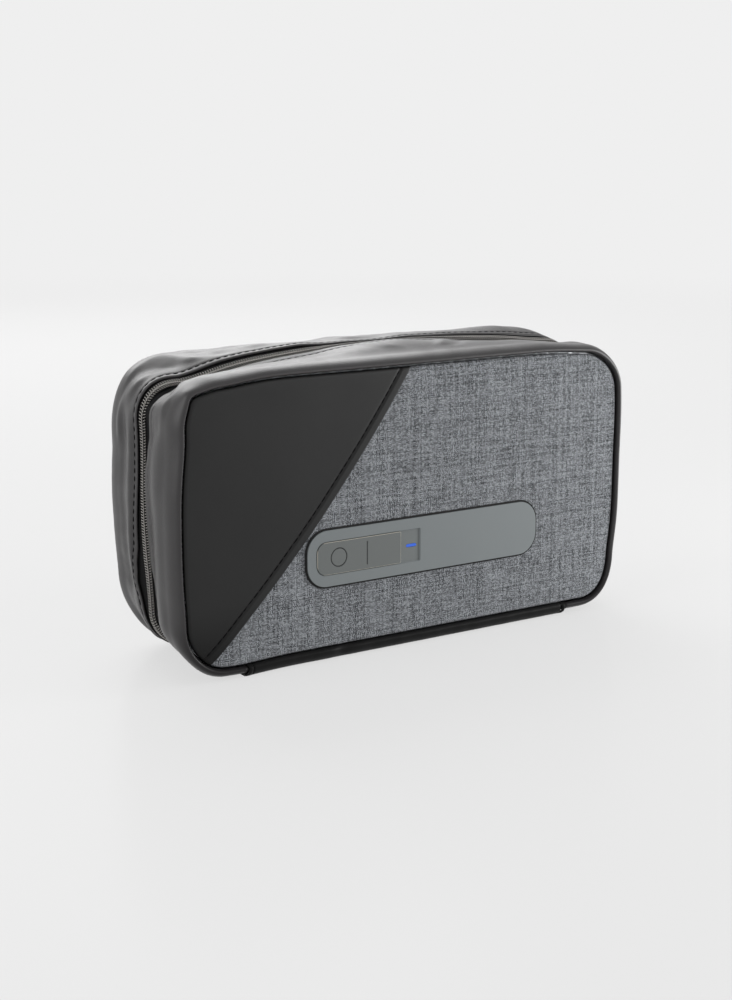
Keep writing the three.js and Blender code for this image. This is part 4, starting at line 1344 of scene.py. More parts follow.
@dataclass(frozen=True)
class TrayWall:
    """The coated side wall of one tray, from its panel's seam over the roll to its lip beside the zip."""

    half: Half
    path: SeamPath
    reach: float
    top_reach: float
    roll_length: float
    gaps: tuple[tuple[float, float], ...]
    folds: tuple[Fold, ...]
    seed: float
    restless: float
    stitched: tuple[tuple[float, float], ...]
    crest: float = 1.4
    proud: float = 1.3
    groove_depth: float = 1.5
    groove_gap: float = 0.2
    belly: float = 1.3
    taut_share: float = 0.5
    sunk_share: float = 1.1
    sunk_place: float = 127.0
    sunk_reach: float = 20.0
    twist_reach: float = 11.0
    lip_gap: float = 3.9
    stitch_inset: float = 2.9
    stitch_sink: float = 0.28
    fold_radius: float = 0.5
    hem: float = 4.5
    wall_steps: int = 18
    lip_steps: int = 14
    fold_steps: int = 6
    hem_steps: int = 3
    cloth: float = 0.34
    tape_drop: float = 1.4
    roll_waves: tuple[float, float] = (16.0, 6.0)
    roll_shares: tuple[float, float] = (0.5, 0.25)
    wall_waves: tuple[float, float] = (21.0, 8.0)
    wall_turns: tuple[float, float] = (1.6, 3.0)
    wall_shares: tuple[float, float] = (0.75, 0.3)
    lip_band: float = 2.0
    pucker_width: float = 0.55
    even_share: float = 0.75
    stitch_wander: float = 0.25
    stitch_wave: float = 7.0

    @property
    def is_rear(self) -> bool:
        """Whether it is the rear tray's wall."""
        return self.half is Half.REAR

    @property
    def roll_end(self) -> float:
        """Depth at which the roll has turned into the wall."""
        return self.roll_length - self.proud

    @property
    def lip_depth(self) -> float:
        """Depth of a lip that lies at the usual gap from the zip."""
        return self.path.half_depth - self.lip_gap

    def gap(self, along: float) -> float:
        """From the zip's middle to the edge of the lip, which wanders along the zip."""
        return between(self.gaps, along / self.path.length)

    def twist(self, along: float, y: float) -> float:
        """How far a row at Y is lifted, because the zip leans: its rear stands higher than its front."""
        off = y / self.twist_reach
        return between(LEANS, along / self.path.length) * y * math.exp(-off * off)

    def roll_reach(self, stop: Stop) -> float:
        """How far the roll stands out past the seam at a stop.

        Args:
            stop: The stop that is meant.

        Returns:
            The distance.
        """
        slow = self.roll_shares[0] * ripple(stop.along / self.roll_waves[0], self.seed)
        quick = self.roll_shares[1] * ripple(stop.along / self.roll_waves[1], self.seed + 3)
        return mix(self.reach, self.top_reach, stop.arch) + self.restless * (slow + quick)

    def face(self, stop: Stop, depth: float) -> float:
        """How far the wall's outer face stands out past the seam at a depth behind the roll.

        Args:
            stop: The stop that is meant.
            depth: The depth.

        Returns:
            The distance.
        """
        share = clamp((depth - self.roll_end) / (self.lip_depth - self.roll_end))
        free = 4 * share * (1 - share)
        off = (stop.along - self.sunk_place) / self.sunk_reach
        belly = self.belly * (1 - self.taut_share * stop.arch - self.sunk_share * math.exp(-off * off))
        folds = sum(fold.rise(stop.along, share) for fold in self.folds)
        slow = ripple(stop.along / self.wall_waves[0], share * self.wall_turns[0], self.seed)
        quick = ripple(stop.along / self.wall_waves[1], share * self.wall_turns[1], self.seed + 9)
        unrest = self.wall_shares[0] * slow + self.wall_shares[1] * quick
        reach = mix(self.roll_reach(stop), stop.lip, ease(share))
        return reach + belly * free**2 + folds + free * self.restless * unrest

    def at(self, stop: Stop, out: float, depth: float) -> Vector:
        """The place that lies out past the seam by one length and behind the panel's face by another.

        Args:
            stop: The stop that is meant.
            out: The length out past the seam.
            depth: The depth behind the panel's face.

        Returns:
            The place.
        """
        rear = 0.0
        if self.is_rear:
            rear = clamp((self.lip_depth - depth) / (self.lip_depth - self.roll_end))
        y = self.half.value * (self.path.half_depth - depth)
        lifted = out + self.twist(stop.along, y)
        x = mix(stop.x, stop.rear_x, rear) + stop.out_x * lifted
        z = mix(stop.z, stop.rear_z, rear) + stop.out_z * lifted
        return Vector((x, y, z))

    def section(self, stop: Stop) -> Section:
        """Distances out and depths of the outer face, from the seam's groove round the roll to the lip.

        Args:
            stop: The stop at which the section is taken.

        Returns:
            The section's points. They lie closest at the stitches, and the last few are the hem's inner side.
        """
        points = []
        dip = self.groove_depth + self.proud
        for angle in quarter(5):
            out = self.crest - (self.crest - self.groove_gap) * math.sin(angle)
            points.append((out, self.groove_depth - dip * math.cos(angle)))
        reach = self.roll_reach(stop)
        for angle in quarter(9):
            out = self.crest + (reach - self.crest) * math.cos(angle)
            points.append((out, self.roll_end - self.roll_length * math.sin(angle)))
        edge = self.path.half_depth - self.gap(stop.along)
        fine = edge - self.stitch_inset - self.lip_band
        depths = [mix(self.roll_end, fine, k / self.wall_steps) for k in range(self.wall_steps)]
        last = edge - self.fold_radius
        depths += [mix(fine, last, k / self.lip_steps) for k in range(self.lip_steps + 1)]
        points += [(self.face(stop, depth) - self.pucker(stop, edge - depth), depth) for depth in depths]
        lip = points[-1][0]
        for k in range(1, self.fold_steps + 1):
            angle = math.pi * k / self.fold_steps
            out = lip - self.fold_radius * (1 - math.cos(angle))
            points.append((out, last + self.fold_radius * math.sin(angle)))
        for k in range(1, self.hem_steps + 1):
            depth = last - self.hem * k / self.hem_steps
            points.append((self.face(stop, depth) - 2 * self.fold_radius, depth))
        return points

    def pucker(self, stop: Stop, inset: float) -> float:
        """How far the row of stitches pulls the cloth down, at a distance from the lip's edge.

        Args:
            stop: The stop that is meant.
            inset: The distance from the lip's edge.

        Returns:
            The pull.
        """
        off = (inset - self.stitch_inset) / self.pucker_width
        pull = self.even_share + (1 - self.even_share) * math.cos(math.tau * stop.along / STITCH.pitch)
        return self.stitch_sink * pull * math.exp(-off * off)

    def net(self, columns: int, rows: Callable[[Stop], Section]) -> Net:
        """Places of a band along the whole path, from a function that gives each stop's section."""
        stops = [self.path.stop(self.path.length * i / columns) for i in range(columns + 1)]
        return [[self.at(stop, out, depth) for out, depth in rows(stop)] for stop in stops]

    def layer(self, start: float, end: float, inset: float, rows: int) -> Callable[[Stop], Section]:
        """A function for the section of a layer that follows the wall an inset below its face.

        Args:
            start: The layer's first depth.
            end: Its last depth.
            inset: How far it lies below the wall's face.
            rows: How many steps it has.

        Returns:
            The function, which takes a stop.
        """
        depths = [mix(start, end, k / rows) for k in range(rows + 1)]
        return lambda stop: [(self.face(stop, depth) - inset, depth) for depth in depths]

    def seam_stitches(self, start: float, end: float) -> Stitches:
        """Both ends and the outward direction of each stitch beside the lip, between two lengths.

        Args:
            start: Length at which the row starts.
            end: Length at which it ends.

        Returns:
            For each stitch its first and last place and the direction out of the cloth.
        """
        count = int((end - start) / STITCH.pitch)
        for k in range(count):
            first = start + k * STITCH.pitch
            ends = []
            for along in (first, first + STITCH.length):
                stop = self.path.stop(along)
                depth = self.path.half_depth - self.gap(along) - self.stitch_inset
                wander = self.stitch_wander * ripple(along / self.stitch_wave, self.seed)
                ends.append(self.at(stop, self.face(stop, depth) - self.stitch_sink / 2, depth + wander))
            yield ends[0], ends[1], Vector((stop.out_x, 0.0, stop.out_z))


@dataclass(frozen=True)
class Stitching:
    """Sizes of the lockstitch on the outside of the pouch."""

    pitch: float = 3.3
    length: float = 2.5
    thread: float = 0.44
    wide_share: float = 0.62
    high_share: float = 0.5


STITCH = Stitching()
PATH = SeamPath.from_frame()

# How steeply the zip leans to the rear, at shares of its length
LEANS = (
    (0.0, 0.1), (0.06, 0.3), (0.13, 0.35), (0.2, 0.1), (0.25, 0.2), (0.3, 0.38), (0.35, 0.45), (0.42, 0.4),
    (0.465, 0.08), (0.51, -0.08), (0.555, 0.1), (0.62, 0.3), (0.69, 0.25), (0.75, 0.0), (1.0, 0.0),
)

FRONT_WALL = TrayWall(
    Half.FRONT,
    PATH,
    reach=4.4,
    top_reach=4.4,
    roll_length=7.6,
    gaps=(
        (0.0, 3.6), (0.03, 5.0), (0.05, 8.4), (0.078, 9.6), (0.103, 5.2), (0.125, 3.0), (0.165, 2.5),
        (0.202, 2.5), (0.22, 4.6), (0.237, 6.0), (0.262, 7.8), (0.283, 6.8), (0.3, 4.5), (0.318, 2.7),
        (0.4, 2.5), (0.47, 2.6), (0.51, 2.2), (0.56, 3.2), (0.6, 6.0), (0.67, 6.0), (0.71, 4.4),
        (0.75, 4.2), (1.0, 4.2),
    ),
    folds=(
        Fold(Run.ACROSS, 0.9, 3.2, along=119.0, lean=-3.0, start=0.0, end=1.2),
        Fold(Run.ACROSS, -0.7, 3.0, along=126.5, lean=5.0, start=0.15, end=1.2),
        Fold(Run.ACROSS, 0.6, 2.6, along=133.0, lean=11.0, start=0.1, end=1.2),
        Fold(Run.ACROSS, -0.5, 2.8, along=139.0, lean=16.0, start=0.2, end=1.2),
        Fold(Run.ACROSS, -0.5, 4.0, along=111.0, lean=-10.0, start=0.2, end=1.0),
        Fold(Run.ACROSS, 0.4, 3.2, along=255.0, lean=14.0, start=0.25, end=1.0),
        Fold(Run.ACROSS, -0.35, 3.5, along=263.0, lean=16.0, start=0.2, end=1.0),
        Fold(Run.ACROSS, 0.4, 4.0, along=226.0, lean=-18.0, start=0.3, end=1.0),
        Fold(Run.ACROSS, 0.6, 3.5, along=333.0, lean=6.0, start=0.0, end=1.0),
    ),
    seed=4.0,
    restless=0.32,
    stitched=((6.0, 52.0), (168.0, 452.0)),
    groove_gap=0.5,
)

REAR_WALL = TrayWall(
    Half.REAR,
    PATH,
    reach=3.8,
    top_reach=6.6,
    roll_length=7.0,
    gaps=(
        (0.0, 3.2), (0.04, 3.4), (0.07, 5.2), (0.1, 7.4), (0.115, 6.6), (0.14, 4.8), (0.2, 4.2), (0.25, 3.3),
        (0.3, 3.0), (0.35, 3.9), (0.44, 4.6), (0.54, 4.4), (0.66, 3.6), (0.74, 4.2), (1.0, 4.2),
    ),
    folds=(
        Fold(Run.ALONG, -1.2, 0.17, level=0.36, start=24.0, end=128.0),
        Fold(Run.ALONG, 0.8, 0.12, level=0.74, start=30.0, end=120.0),
        Fold(Run.ACROSS, 0.9, 4.2, along=122.0, lean=18.0, start=0.0, end=0.82),
        Fold(Run.ACROSS, -0.9, 4.0, along=132.0, lean=20.0, start=0.0, end=0.82),
        Fold(Run.ACROSS, 0.9, 4.4, along=143.0, lean=22.0, start=0.0, end=0.82),
        Fold(Run.ACROSS, -0.7, 5.0, along=156.0, lean=20.0, start=0.1, end=0.85),
        Fold(Run.ACROSS, 0.8, 8.0, along=178.0, lean=14.0, start=-0.2, end=0.8),
        Fold(Run.ACROSS, -0.8, 7.0, along=200.0, lean=8.0, start=-0.2, end=0.8),
        Fold(Run.ACROSS, 0.8, 9.0, along=226.0, lean=4.0, start=-0.2, end=0.8),
        Fold(Run.ACROSS, 0.7, 4.0, along=22.0, lean=6.0, start=0.0, end=1.0),
        Fold(Run.ACROSS, 0.6, 5.0, along=338.0, lean=-9.0, start=0.0, end=1.0),
    ),
    seed=11.0,
    restless=0.6,
    stitched=((6.0, 452.0),),
    stitch_inset=2.1,
)


# Sub-assemblies


@dataclass(frozen=True)
class Walls:
    """Side walls with their topstitching, and their reflective lining."""

    columns: int = 380
    lining_columns: int = 240
    lining_start: float = 4.0
    lining_end: float = 18.9
    lining_rows: int = 14
    lining_cloth: float = 0.3
    strip_width: float = 38.0

    def build(self) -> None:
        """Builds both trays' walls."""
        self.wall(FRONT_WALL, "front_gusset", "lid")
        self.wall(REAR_WALL, "rear_gusset", "rear_tray")
        self.lining(FRONT_WALL, "lid_side_lining", "lid")
        self.lining(REAR_WALL, "rear_side_lining", "rear_tray")

    def wall(self, wall: TrayWall, node: str, body: str) -> None:
        """One coated wall with its row of stitches.

        Args:
            wall: The tray's side wall.
            node: The CAD node that it stands for.
            body: The CAD body that it rides on.
        """
        sheet = cloth_sheet(f"{node}_cloth", wall.net(self.columns, wall.section), wall.cloth, wall.is_rear)
        dress(sheet, body, COATED, (node,))
        rows = [end for start, last in wall.stitched for end in wall.seam_stitches(start, last)]
        row = stitches(f"{node}_topstitch", rows, STITCH.thread)
        dress(row, body, THREAD)
        size = (self.strip_width * MM, wall.path.length * MM)

    def lining(self, wall: TrayWall, node: str, body: str) -> None:
        """One strip of lining behind a wall.

        Args:
            wall: The tray's side wall.
            node: The CAD node that it stands for.
            body: The CAD body that it rides on.
        """
        rows = wall.layer(self.lining_start, self.lining_end, wall.tape_drop, self.lining_rows)
        net = wall.net(self.lining_columns, rows)
        sheet = cloth_sheet(f"{node}_film", net, self.lining_cloth, not wall.is_rear)
        dress(sheet, body, LINING, (node,))
        wall.path.length * MM


@dataclass(frozen=True)
class Zip:
    """Tapes and coils of the nylon zip."""

    columns: int = 300
    rows: int = 12
    tape_start: float = 19.1
    tape_half_gap: float = 1.0
    tape: float = 0.45
    pitch: float = 1.1
    wire: float = 0.21
    steps: int = 10
    half_chain: float = 2.15
    foot_drop: float = 1.3
    height: float = 1.2
    bite: float = 0.12
    slider_gap: float = 0.52
    cord_place: float = 1.3
    cord: float = 0.34
    thread_place: float = 1.4
    thread: float = 0.13
    dip_share: float = 0.9
    end_inset: float = 2.6
    fade: float = 8.0

    def build(self) -> None:
        """Builds both halves of the zip."""
        self.half(FRONT_WALL, "front", "lid")
        self.half(REAR_WALL, "rear", "rear_tray")

    def half(self, wall: TrayWall, name: str, body: str) -> None:
        """One tape with its coil.

        Args:
            wall: The tray's side wall.
            name: The half's name.
            body: The CAD body that it rides on.
        """
        end = wall.path.half_depth - self.tape_half_gap
        rows = wall.layer(self.tape_start, end, wall.tape_drop, self.rows)
        tape = cloth_sheet(f"{name}_zip_tape_weave", wall.net(self.columns, rows), self.tape, wall.is_rear)
        dress(tape, body, TAPE, (f"{name}_zip_tape",))
        wall.path.length * MM
        coil = tubes(f"{name}_zip_coil_winding", [self.winding(wall)], [self.wire])
        dress(coil, body, COIL, (f"{name}_zip_coil",))
        lines = [self.core_cord(wall), self.lockstitch(wall)]
        cord = tubes(f"{name}_zip_coil_cord", lines, [self.cord, self.thread])
        dress(cord, body, THREAD)

    def inner_end(self, wall: TrayWall, along: float) -> float:
        """How far a tooth's head stays from the zip's middle.

        Args:
            wall: The wall beside the coil.
            along: The tooth's length along the path.

        Returns:
            The distance. The heads bite past the middle, but leave room for the slider's post where it runs.
        """
        legs = wall.path.legs
        start = sum(legs[:6])
        end = start + legs[6]
        run = ease((along - start + self.fade) / self.fade) * ease((end + self.fade - along) / self.fade)
        return mix(-self.bite, self.slider_gap, run)

    def winding(self, wall: TrayWall) -> list[Vector]:
        """The filament's middle line: it goes round across the chain as it runs along it.

        Args:
            wall: The tray's side wall.

        Returns:
            The line's places, in order.
        """
        points = []
        start, end = self.end_inset, wall.path.length - self.end_inset
        turns = int((end - start) / self.pitch)
        phase = 0.0 if wall.half is Half.FRONT else 0.5
        middle = self.height / 2
        lift = middle - self.wire
        for k in range(turns * self.steps + 1):
            turn = k / self.steps
            along = start + (turn + phase) * self.pitch
            stop = wall.path.stop(along)
            inner = self.inner_end(wall, along)
            outer = self.half_chain - self.wire
            off = mix(inner, outer, (1 - math.cos(math.tau * turn)) / 2)
            rise = middle + lift * math.sin(math.tau * turn)
            points.append(wall.at(stop, stop.lip - self.foot_drop + rise, wall.path.half_depth - off))
        return points

    def core_cord(self, wall: TrayWall) -> list[Vector]:
        """The middle line of the cord that fills the coil.

        Args:
            wall: The tray's side wall.

        Returns:
            The line's places, in order.
        """
        points = []
        count = int((wall.path.length - 2 * self.end_inset) / (2 * self.pitch))
        for k in range(count + 1):
            stop = wall.path.stop(self.end_inset + 2 * k * self.pitch)
            out = stop.lip - self.foot_drop + self.height / 2
            points.append(wall.at(stop, out, wall.path.half_depth - self.cord_place))
        return points

    def lockstitch(self, wall: TrayWall) -> list[Vector]:
        """The thread that sews the coil to its tape, which dips between the teeth.

        Args:
            wall: The tray's side wall.

        Returns:
            The line's places, in order.
        """
        points = []
        start, end = self.end_inset, wall.path.length - self.end_inset
        count = int((end - start) / self.pitch * 2)
        for k in range(count + 1):
            along = start + k * self.pitch / 2
            stop = wall.path.stop(along)
            rise = self.height + self.thread * (self.dip_share if k % 2 else -self.dip_share)
            depth = wall.path.half_depth - self.thread_place
            points.append(wall.at(stop, stop.lip - self.foot_drop + rise, depth))
        return points


@dataclass(frozen=True)
class PanelNet:
    """A net over a flat panel with round corners, closer at the rim, where the panel bends in."""

    bounds: Bounds
    corner: float
    cell: float = 1.9
    rim: float = 2.4
    rim_cells: int = 6

    def lines(self, low: float, high: float) -> list[float]:
        """Places of the net's lines in one direction.

        Args:
            low: The first place.
            high: The last place.

        Returns:
            The places, in order.
        """
        inner = max(2, round((high - low - 2 * self.rim) / self.cell))
        first = [low + self.rim * k / self.rim_cells for k in range(self.rim_cells)]
        middle = [mix(low + self.rim, high - self.rim, k / inner) for k in range(inner)]
        last = [high - self.rim + self.rim * k / self.rim_cells for k in range(self.rim_cells + 1)]
        return first + middle + last

    def place(self, x: float, z: float) -> Place:
        """Moves a place of the square net into the round outline.

        Args:
            x: Place in X.
            z: Place in Z.

        Returns:
            X and Z in the round outline, and the distance to its rim.
        """
        b, r = self.bounds, self.corner
        side_x = 1 if x > b.x else -1
        side_z = 1 if z > b.z else -1
        past_x = abs(x - b.x) - (b.width / 2 - r)
        past_z = abs(z - b.z) - (b.height / 2 - r)
        if past_x <= 0 or past_z <= 0:
            return x, z, min(r - past_x, r - past_z)
        far = max(past_x, past_z)
        turn = math.pi / 4 * min(past_x, past_z) / far
        angle = turn if past_x >= past_z else math.pi / 2 - turn
        new_x = b.x + side_x * (b.width / 2 - r + far * math.cos(angle))
        new_z = b.z + side_z * (b.height / 2 - r + far * math.sin(angle))
        return new_x, new_z, r - far

    def net(self, y: Callable[[float, float, float], float]) -> Net:
        """The net, with Y from a function of X, Z and the distance to the rim.

        Args:
            y: The function.

        Returns:
            The net, one list for each column.
        """
        columns = []
        for x in self.lines(self.bounds.left, self.bounds.right):
            column = []
            for z in self.lines(self.bounds.foot, self.bounds.head):
                px, pz, rim = self.place(x, z)
                column.append(Vector((px, y(px, pz, rim), pz)))
            columns.append(column)
        return columns


@dataclass(frozen=True)
class PanelShape:
    """How a panel's face lies: it bends into the seam at its rim and is slightly full in its middle."""

    half: Half
    half_depth: float
    groove_reach: float = 1.5
    groove_depth: float = 1.15
    pillow: float = 0.35
    pillow_reach: float = 9.0
    unrest: float = 0.16
    wave: float = 26.0
    calm_rim: float = 6.0
    seed: float = 2.0

    def y(self, x: float, z: float, rim: float) -> float:
        """Row Y of the face.

        Args:
            x: Place in X.
            z: Place in Z.
            rim: The distance to the panel's rim.

        Returns:
            The Y.
        """
        t = clamp(1 - rim / self.groove_reach)
        bend = self.groove_depth * (1 - math.sqrt(1 - t * t))
        full = self.pillow * (1 - math.exp(-max(0.0, rim) / self.pillow_reach))
        unrest = self.unrest * ripple(x / self.wave, z / self.wave, self.seed) * clamp(rim / self.calm_rim)
        return self.half.value * (self.half_depth - bend + full + unrest)


@dataclass(frozen=True)
class Panels:
    """Cloth of the front and the rear panel, the coated corner patch, and the linings behind them."""

    seam_gap: float = 0.1
    cloth: float = 0.5
    patch_cloth: float = 0.32
    patch_rise: float = 0.58
    edge_share: float = 0.72
    edge_round: float = 0.7
    hem: float = 4.0
    hem_puff: float = 0.3
    hem_start: float = 0.8
    hem_end: float = 0.9
    seam_width: float = 0.5
    seam_sink: float = 0.5
    bend_share_x: float = 0.271
    bend_share_z: float = 0.383
    top_share: float = 0.487
    foot_share: float = 0.0377
    seam_thread: float = 0.6
    first_stitch: float = 3.5
    last_stitch: float = 2.0
    stitch_wander: float = 0.45
    stitch_wave: float = 3.0
    patch_area_share: float = 0.62
    patch_rows: int = 120
    patch_columns: int = 100
    crowding: float = 0.75
    slot_gap: float = 0.3
    body_inset: float = 3.3
    lining_cloth: float = 0.3
    lining_cell: float = 3.0
    lining_wave: float = 18.0
    lining_dip: float = 0.12

    def build(self) -> None:
        """Builds all panels."""
        self.front_cloth()
        self.patch()
        self.rear_cloth()
        self.lining("lid_lining", "lid", Half.FRONT)
        self.lining("rear_lining", "rear_tray", Half.REAR)

    @property
    def bounds(self) -> Bounds:
        """Bounds of the seam line."""
        return Bounds(-PATH.half_width, PATH.half_width, PATH.foot, PATH.head)

    def front_cloth(self) -> None:
        """The grey cloth, with the slot that the lamp module's body goes through."""
        net = PanelNet(self.bounds.grown(-self.seam_gap), PATH.front_corner - self.seam_gap)
        shape = PanelShape(Half.FRONT, PATH.half_depth)
        sheet = cloth_sheet("front_melange_cloth", net.net(shape.y), self.cloth)
        open_slot(sheet, Bounds.of("control_strip").grown(self.slot_gap - self.body_inset))
        dress(sheet, "lid", MELANGE, ("front_fabric_panel",))
        flat = (self.bounds.width * MM, self.bounds.height * MM)

    def diagonal(self, z: float) -> float:
        """X of the patch's edge at a height: a curve that bends between its foot and its top.

        Args:
            z: The height.

        Returns:
            The X.
        """
        b = self.bounds
        xs = [b.left + b.width * share for share in (self.foot_share, self.bend_share_x, self.top_share)]
        zs = [b.foot, b.foot + b.height * self.bend_share_z, b.head]
        bow = zs[0] - 2 * zs[1] + zs[2]
        rise = zs[1] - zs[0]
        t = (math.sqrt(max(0.0, rise * rise - bow * (zs[0] - z))) - rise) / bow
        return (1 - t) ** 2 * xs[0] + 2 * (1 - t) * t * xs[1] + t * t * xs[2]

    def left_rim(self, z: float) -> float:
        """X of the panel's left rim at a height.

        Args:
            z: The height.

        Returns:
            The X.
        """
        b, r = self.bounds.grown(-self.seam_gap), PATH.front_corner - self.seam_gap
        past = max(0.0, abs(z - b.z) - (b.height / 2 - r))
        return b.left + r - math.sqrt(max(0.0, r * r - past * past))

    def patch_net(self) -> Net:
        """Places of the patch's face, row by row from its lower tip to its top.

        Returns:
            The net, one list for each row.
        """
        b = self.bounds.grown(-self.seam_gap)
        net_of = PanelNet(b, PATH.front_corner - self.seam_gap)
        shape = PanelShape(Half.FRONT, PATH.half_depth)
        low = self.tip()
        net = []
        for i in range(self.patch_rows + 1):
            z = mix(low, b.head, self.closer_at_ends(i / self.patch_rows))
            left, right = self.left_rim(z), self.diagonal(z)
            lean = math.hypot(1, self.slope(z))
            row = []
            for j in range(self.patch_columns + 1):
                x = mix(left, right, self.closer_at_ends(j / self.patch_columns))
                rise = self.patch_height((right - x) / lean)
                row.append(Vector((x, shape.y(x, z, self.rim_of(net_of, x, z)) - rise, z)))
            net.append(row)
        return net

    def closer_at_ends(self, share: float) -> float:
        """A share that moves more slowly near both ends."""
        return share - self.crowding * math.sin(math.tau * share) / math.tau

    def slope(self, z: float) -> float:
        """How far the diagonal moves in X as it climbs a millimetre, at a height."""
        return self.diagonal(z + 1 / 2) - self.diagonal(z - 1 / 2)

    def rim_of(self, net: PanelNet, x: float, z: float) -> float:
        """Distance from a place on the panel to the panel's rim.

        Args:
            net: The panel's net.
            x: Place in X.
            z: Place in Z.

        Returns:
            The distance, which is zero outside the panel.
        """
        b, r = net.bounds, net.corner
        past_x = abs(x - b.x) - (b.width / 2 - r)
        past_z = abs(z - b.z) - (b.height / 2 - r)
        if past_x > 0 and past_z > 0:
            return max(0.0, r - math.hypot(past_x, past_z))
        return max(0.0, r - max(past_x, past_z))

    def tip(self) -> float:
        """Height at which the diagonal leaves the panel's rim.

        Returns:
            The height.
        """
        low, high = self.bounds.foot + self.seam_gap, self.bounds.z
        for _ in range(40):
            middle = (low + high) / 2
            if self.diagonal(middle) > self.left_rim(middle):
                high = middle
            else:
                low = middle
        return high

    def patch_height(self, edge: float) -> float:
        """How far the patch's face stands above the grey cloth at a distance from its folded edge.

        Args:
            edge: The distance from the edge.

        Returns:
            The height.
        """
        outside = 1 - clamp(edge / self.edge_round)
        turned = self.patch_rise * mix(self.edge_share, 1, math.sqrt(1 - outside * outside))
        hem = self.hem_puff * ease(edge / self.hem_start) * ease((self.hem - edge) / self.hem_end)
        off = (edge - self.hem) / self.seam_width
        return turned + hem - self.seam_sink * math.exp(-off * off)

    def patch(self) -> None:
        """The coated patch over the upper left corner, with the stitches along its folded edge."""
        sheet = cloth_sheet("corner_patch_cloth", self.patch_net(), self.patch_cloth, turned_over=True)
        dress(sheet, "lid", PATCH, ("front_corner_patch",))
        row = stitches("corner_patch_topstitch", self.patch_stitches(), self.seam_thread)
        dress(row, "lid", THREAD)
        wide = self.bounds.width * self.top_share
        flat = (wide * MM, self.bounds.height * MM)

    def patch_stitches(self) -> Stitches:
        """Both ends of each stitch of the patch's hem, which wander a little.

        Returns:
            For each stitch its first and last place and the direction out of the cloth.
        """
        shape = PanelShape(Half.FRONT, PATH.half_depth)
        net = PanelNet(self.bounds, PATH.front_corner)
        z = self.tip() + self.first_stitch
        while z < self.bounds.head - self.last_stitch:
            ends = []
            lean = math.hypot(1, self.slope(z))
            for reach in (0.0, STITCH.pitch / lean):
                place_z = z + reach
                wander = self.stitch_wander * ripple(place_z / self.stitch_wave, 5.0)
                x = self.diagonal(place_z) - (self.hem + wander) * lean
                y = shape.y(x, place_z, self.rim_of(net, x, place_z)) - self.patch_height(self.hem)
                ends.append(Vector((x, y, place_z)))
            yield ends[0], ends[1], Vector((0.0, -1.0, 0.0))
            z += STITCH.pitch / lean

    def rear_cloth(self) -> None:
        """The coated rear panel."""
        net = PanelNet(self.bounds.grown(-self.seam_gap), PATH.rear_corner - self.seam_gap)
        shape = PanelShape(Half.REAR, PATH.half_depth, pillow=0.6, unrest=0.35, seed=8.0)
        sheet = cloth_sheet("rear_coated_cloth", net.net(shape.y), self.cloth, turned_over=True)
        dress(sheet, "rear_tray", COATED, ("rear_panel",))
        flat = (self.bounds.width * MM, self.bounds.height * MM)

    def lining(self, node: str, body: str, half: Half) -> None:
        """The reflective lining behind a panel's board.

        Args:
            node: The CAD node that it stands for.
            body: The CAD body that it rides on.
            half: The tray whose lining it is.
        """
        is_front = half is Half.FRONT
        bounds = Bounds.of(node)
        corner = PATH.front_corner if is_front else PATH.rear_corner
        corner += bounds.right - PATH.half_width
        face = corners(node)[1 if is_front else 0].y
        deep, wave = half.value * self.lining_dip, self.lining_wave
        net = PanelNet(bounds, corner, cell=self.lining_cell)
        places = net.net(lambda x, z, rim: face - deep * ripple(x / wave, z / wave, 3.0) ** 2)
        sheet = cloth_sheet(f"{node}_film", places, self.lining_cloth, turned_over=is_front)
        if is_front:
            open_slot(sheet, Bounds.of("control_strip").grown(self.slot_gap - self.body_inset))
        dress(sheet, body, LINING, (node,))


def open_slot(obj: Object, bounds: Bounds) -> None:
    """Takes away the part of a sheet that lies within bounds in X and Z.

    Args:
        obj: The sheet.
        bounds: The bounds.
    """
    bm = bmesh.new()
    bm.from_mesh(obj.data)
    across, up = Vector((1, 0, 0)), Vector((0, 0, 1))
    for place, way in ((bounds.left, across), (bounds.right, across), (bounds.foot, up), (bounds.head, up)):
        parts = bm.verts[:] + bm.edges[:] + bm.faces[:]
        bmesh.ops.bisect_plane(bm, geom=parts, plane_co=way * place * MM, plane_no=way, dist=TINY * MM)
    inside = [face for face in bm.faces if bounds.holds(face.calc_center_median() / MM)]
    bmesh.ops.delete(bm, geom=inside, context="FACES")
    bm.to_mesh(obj.data)
    bm.free()
    obj.data.shade_smooth()


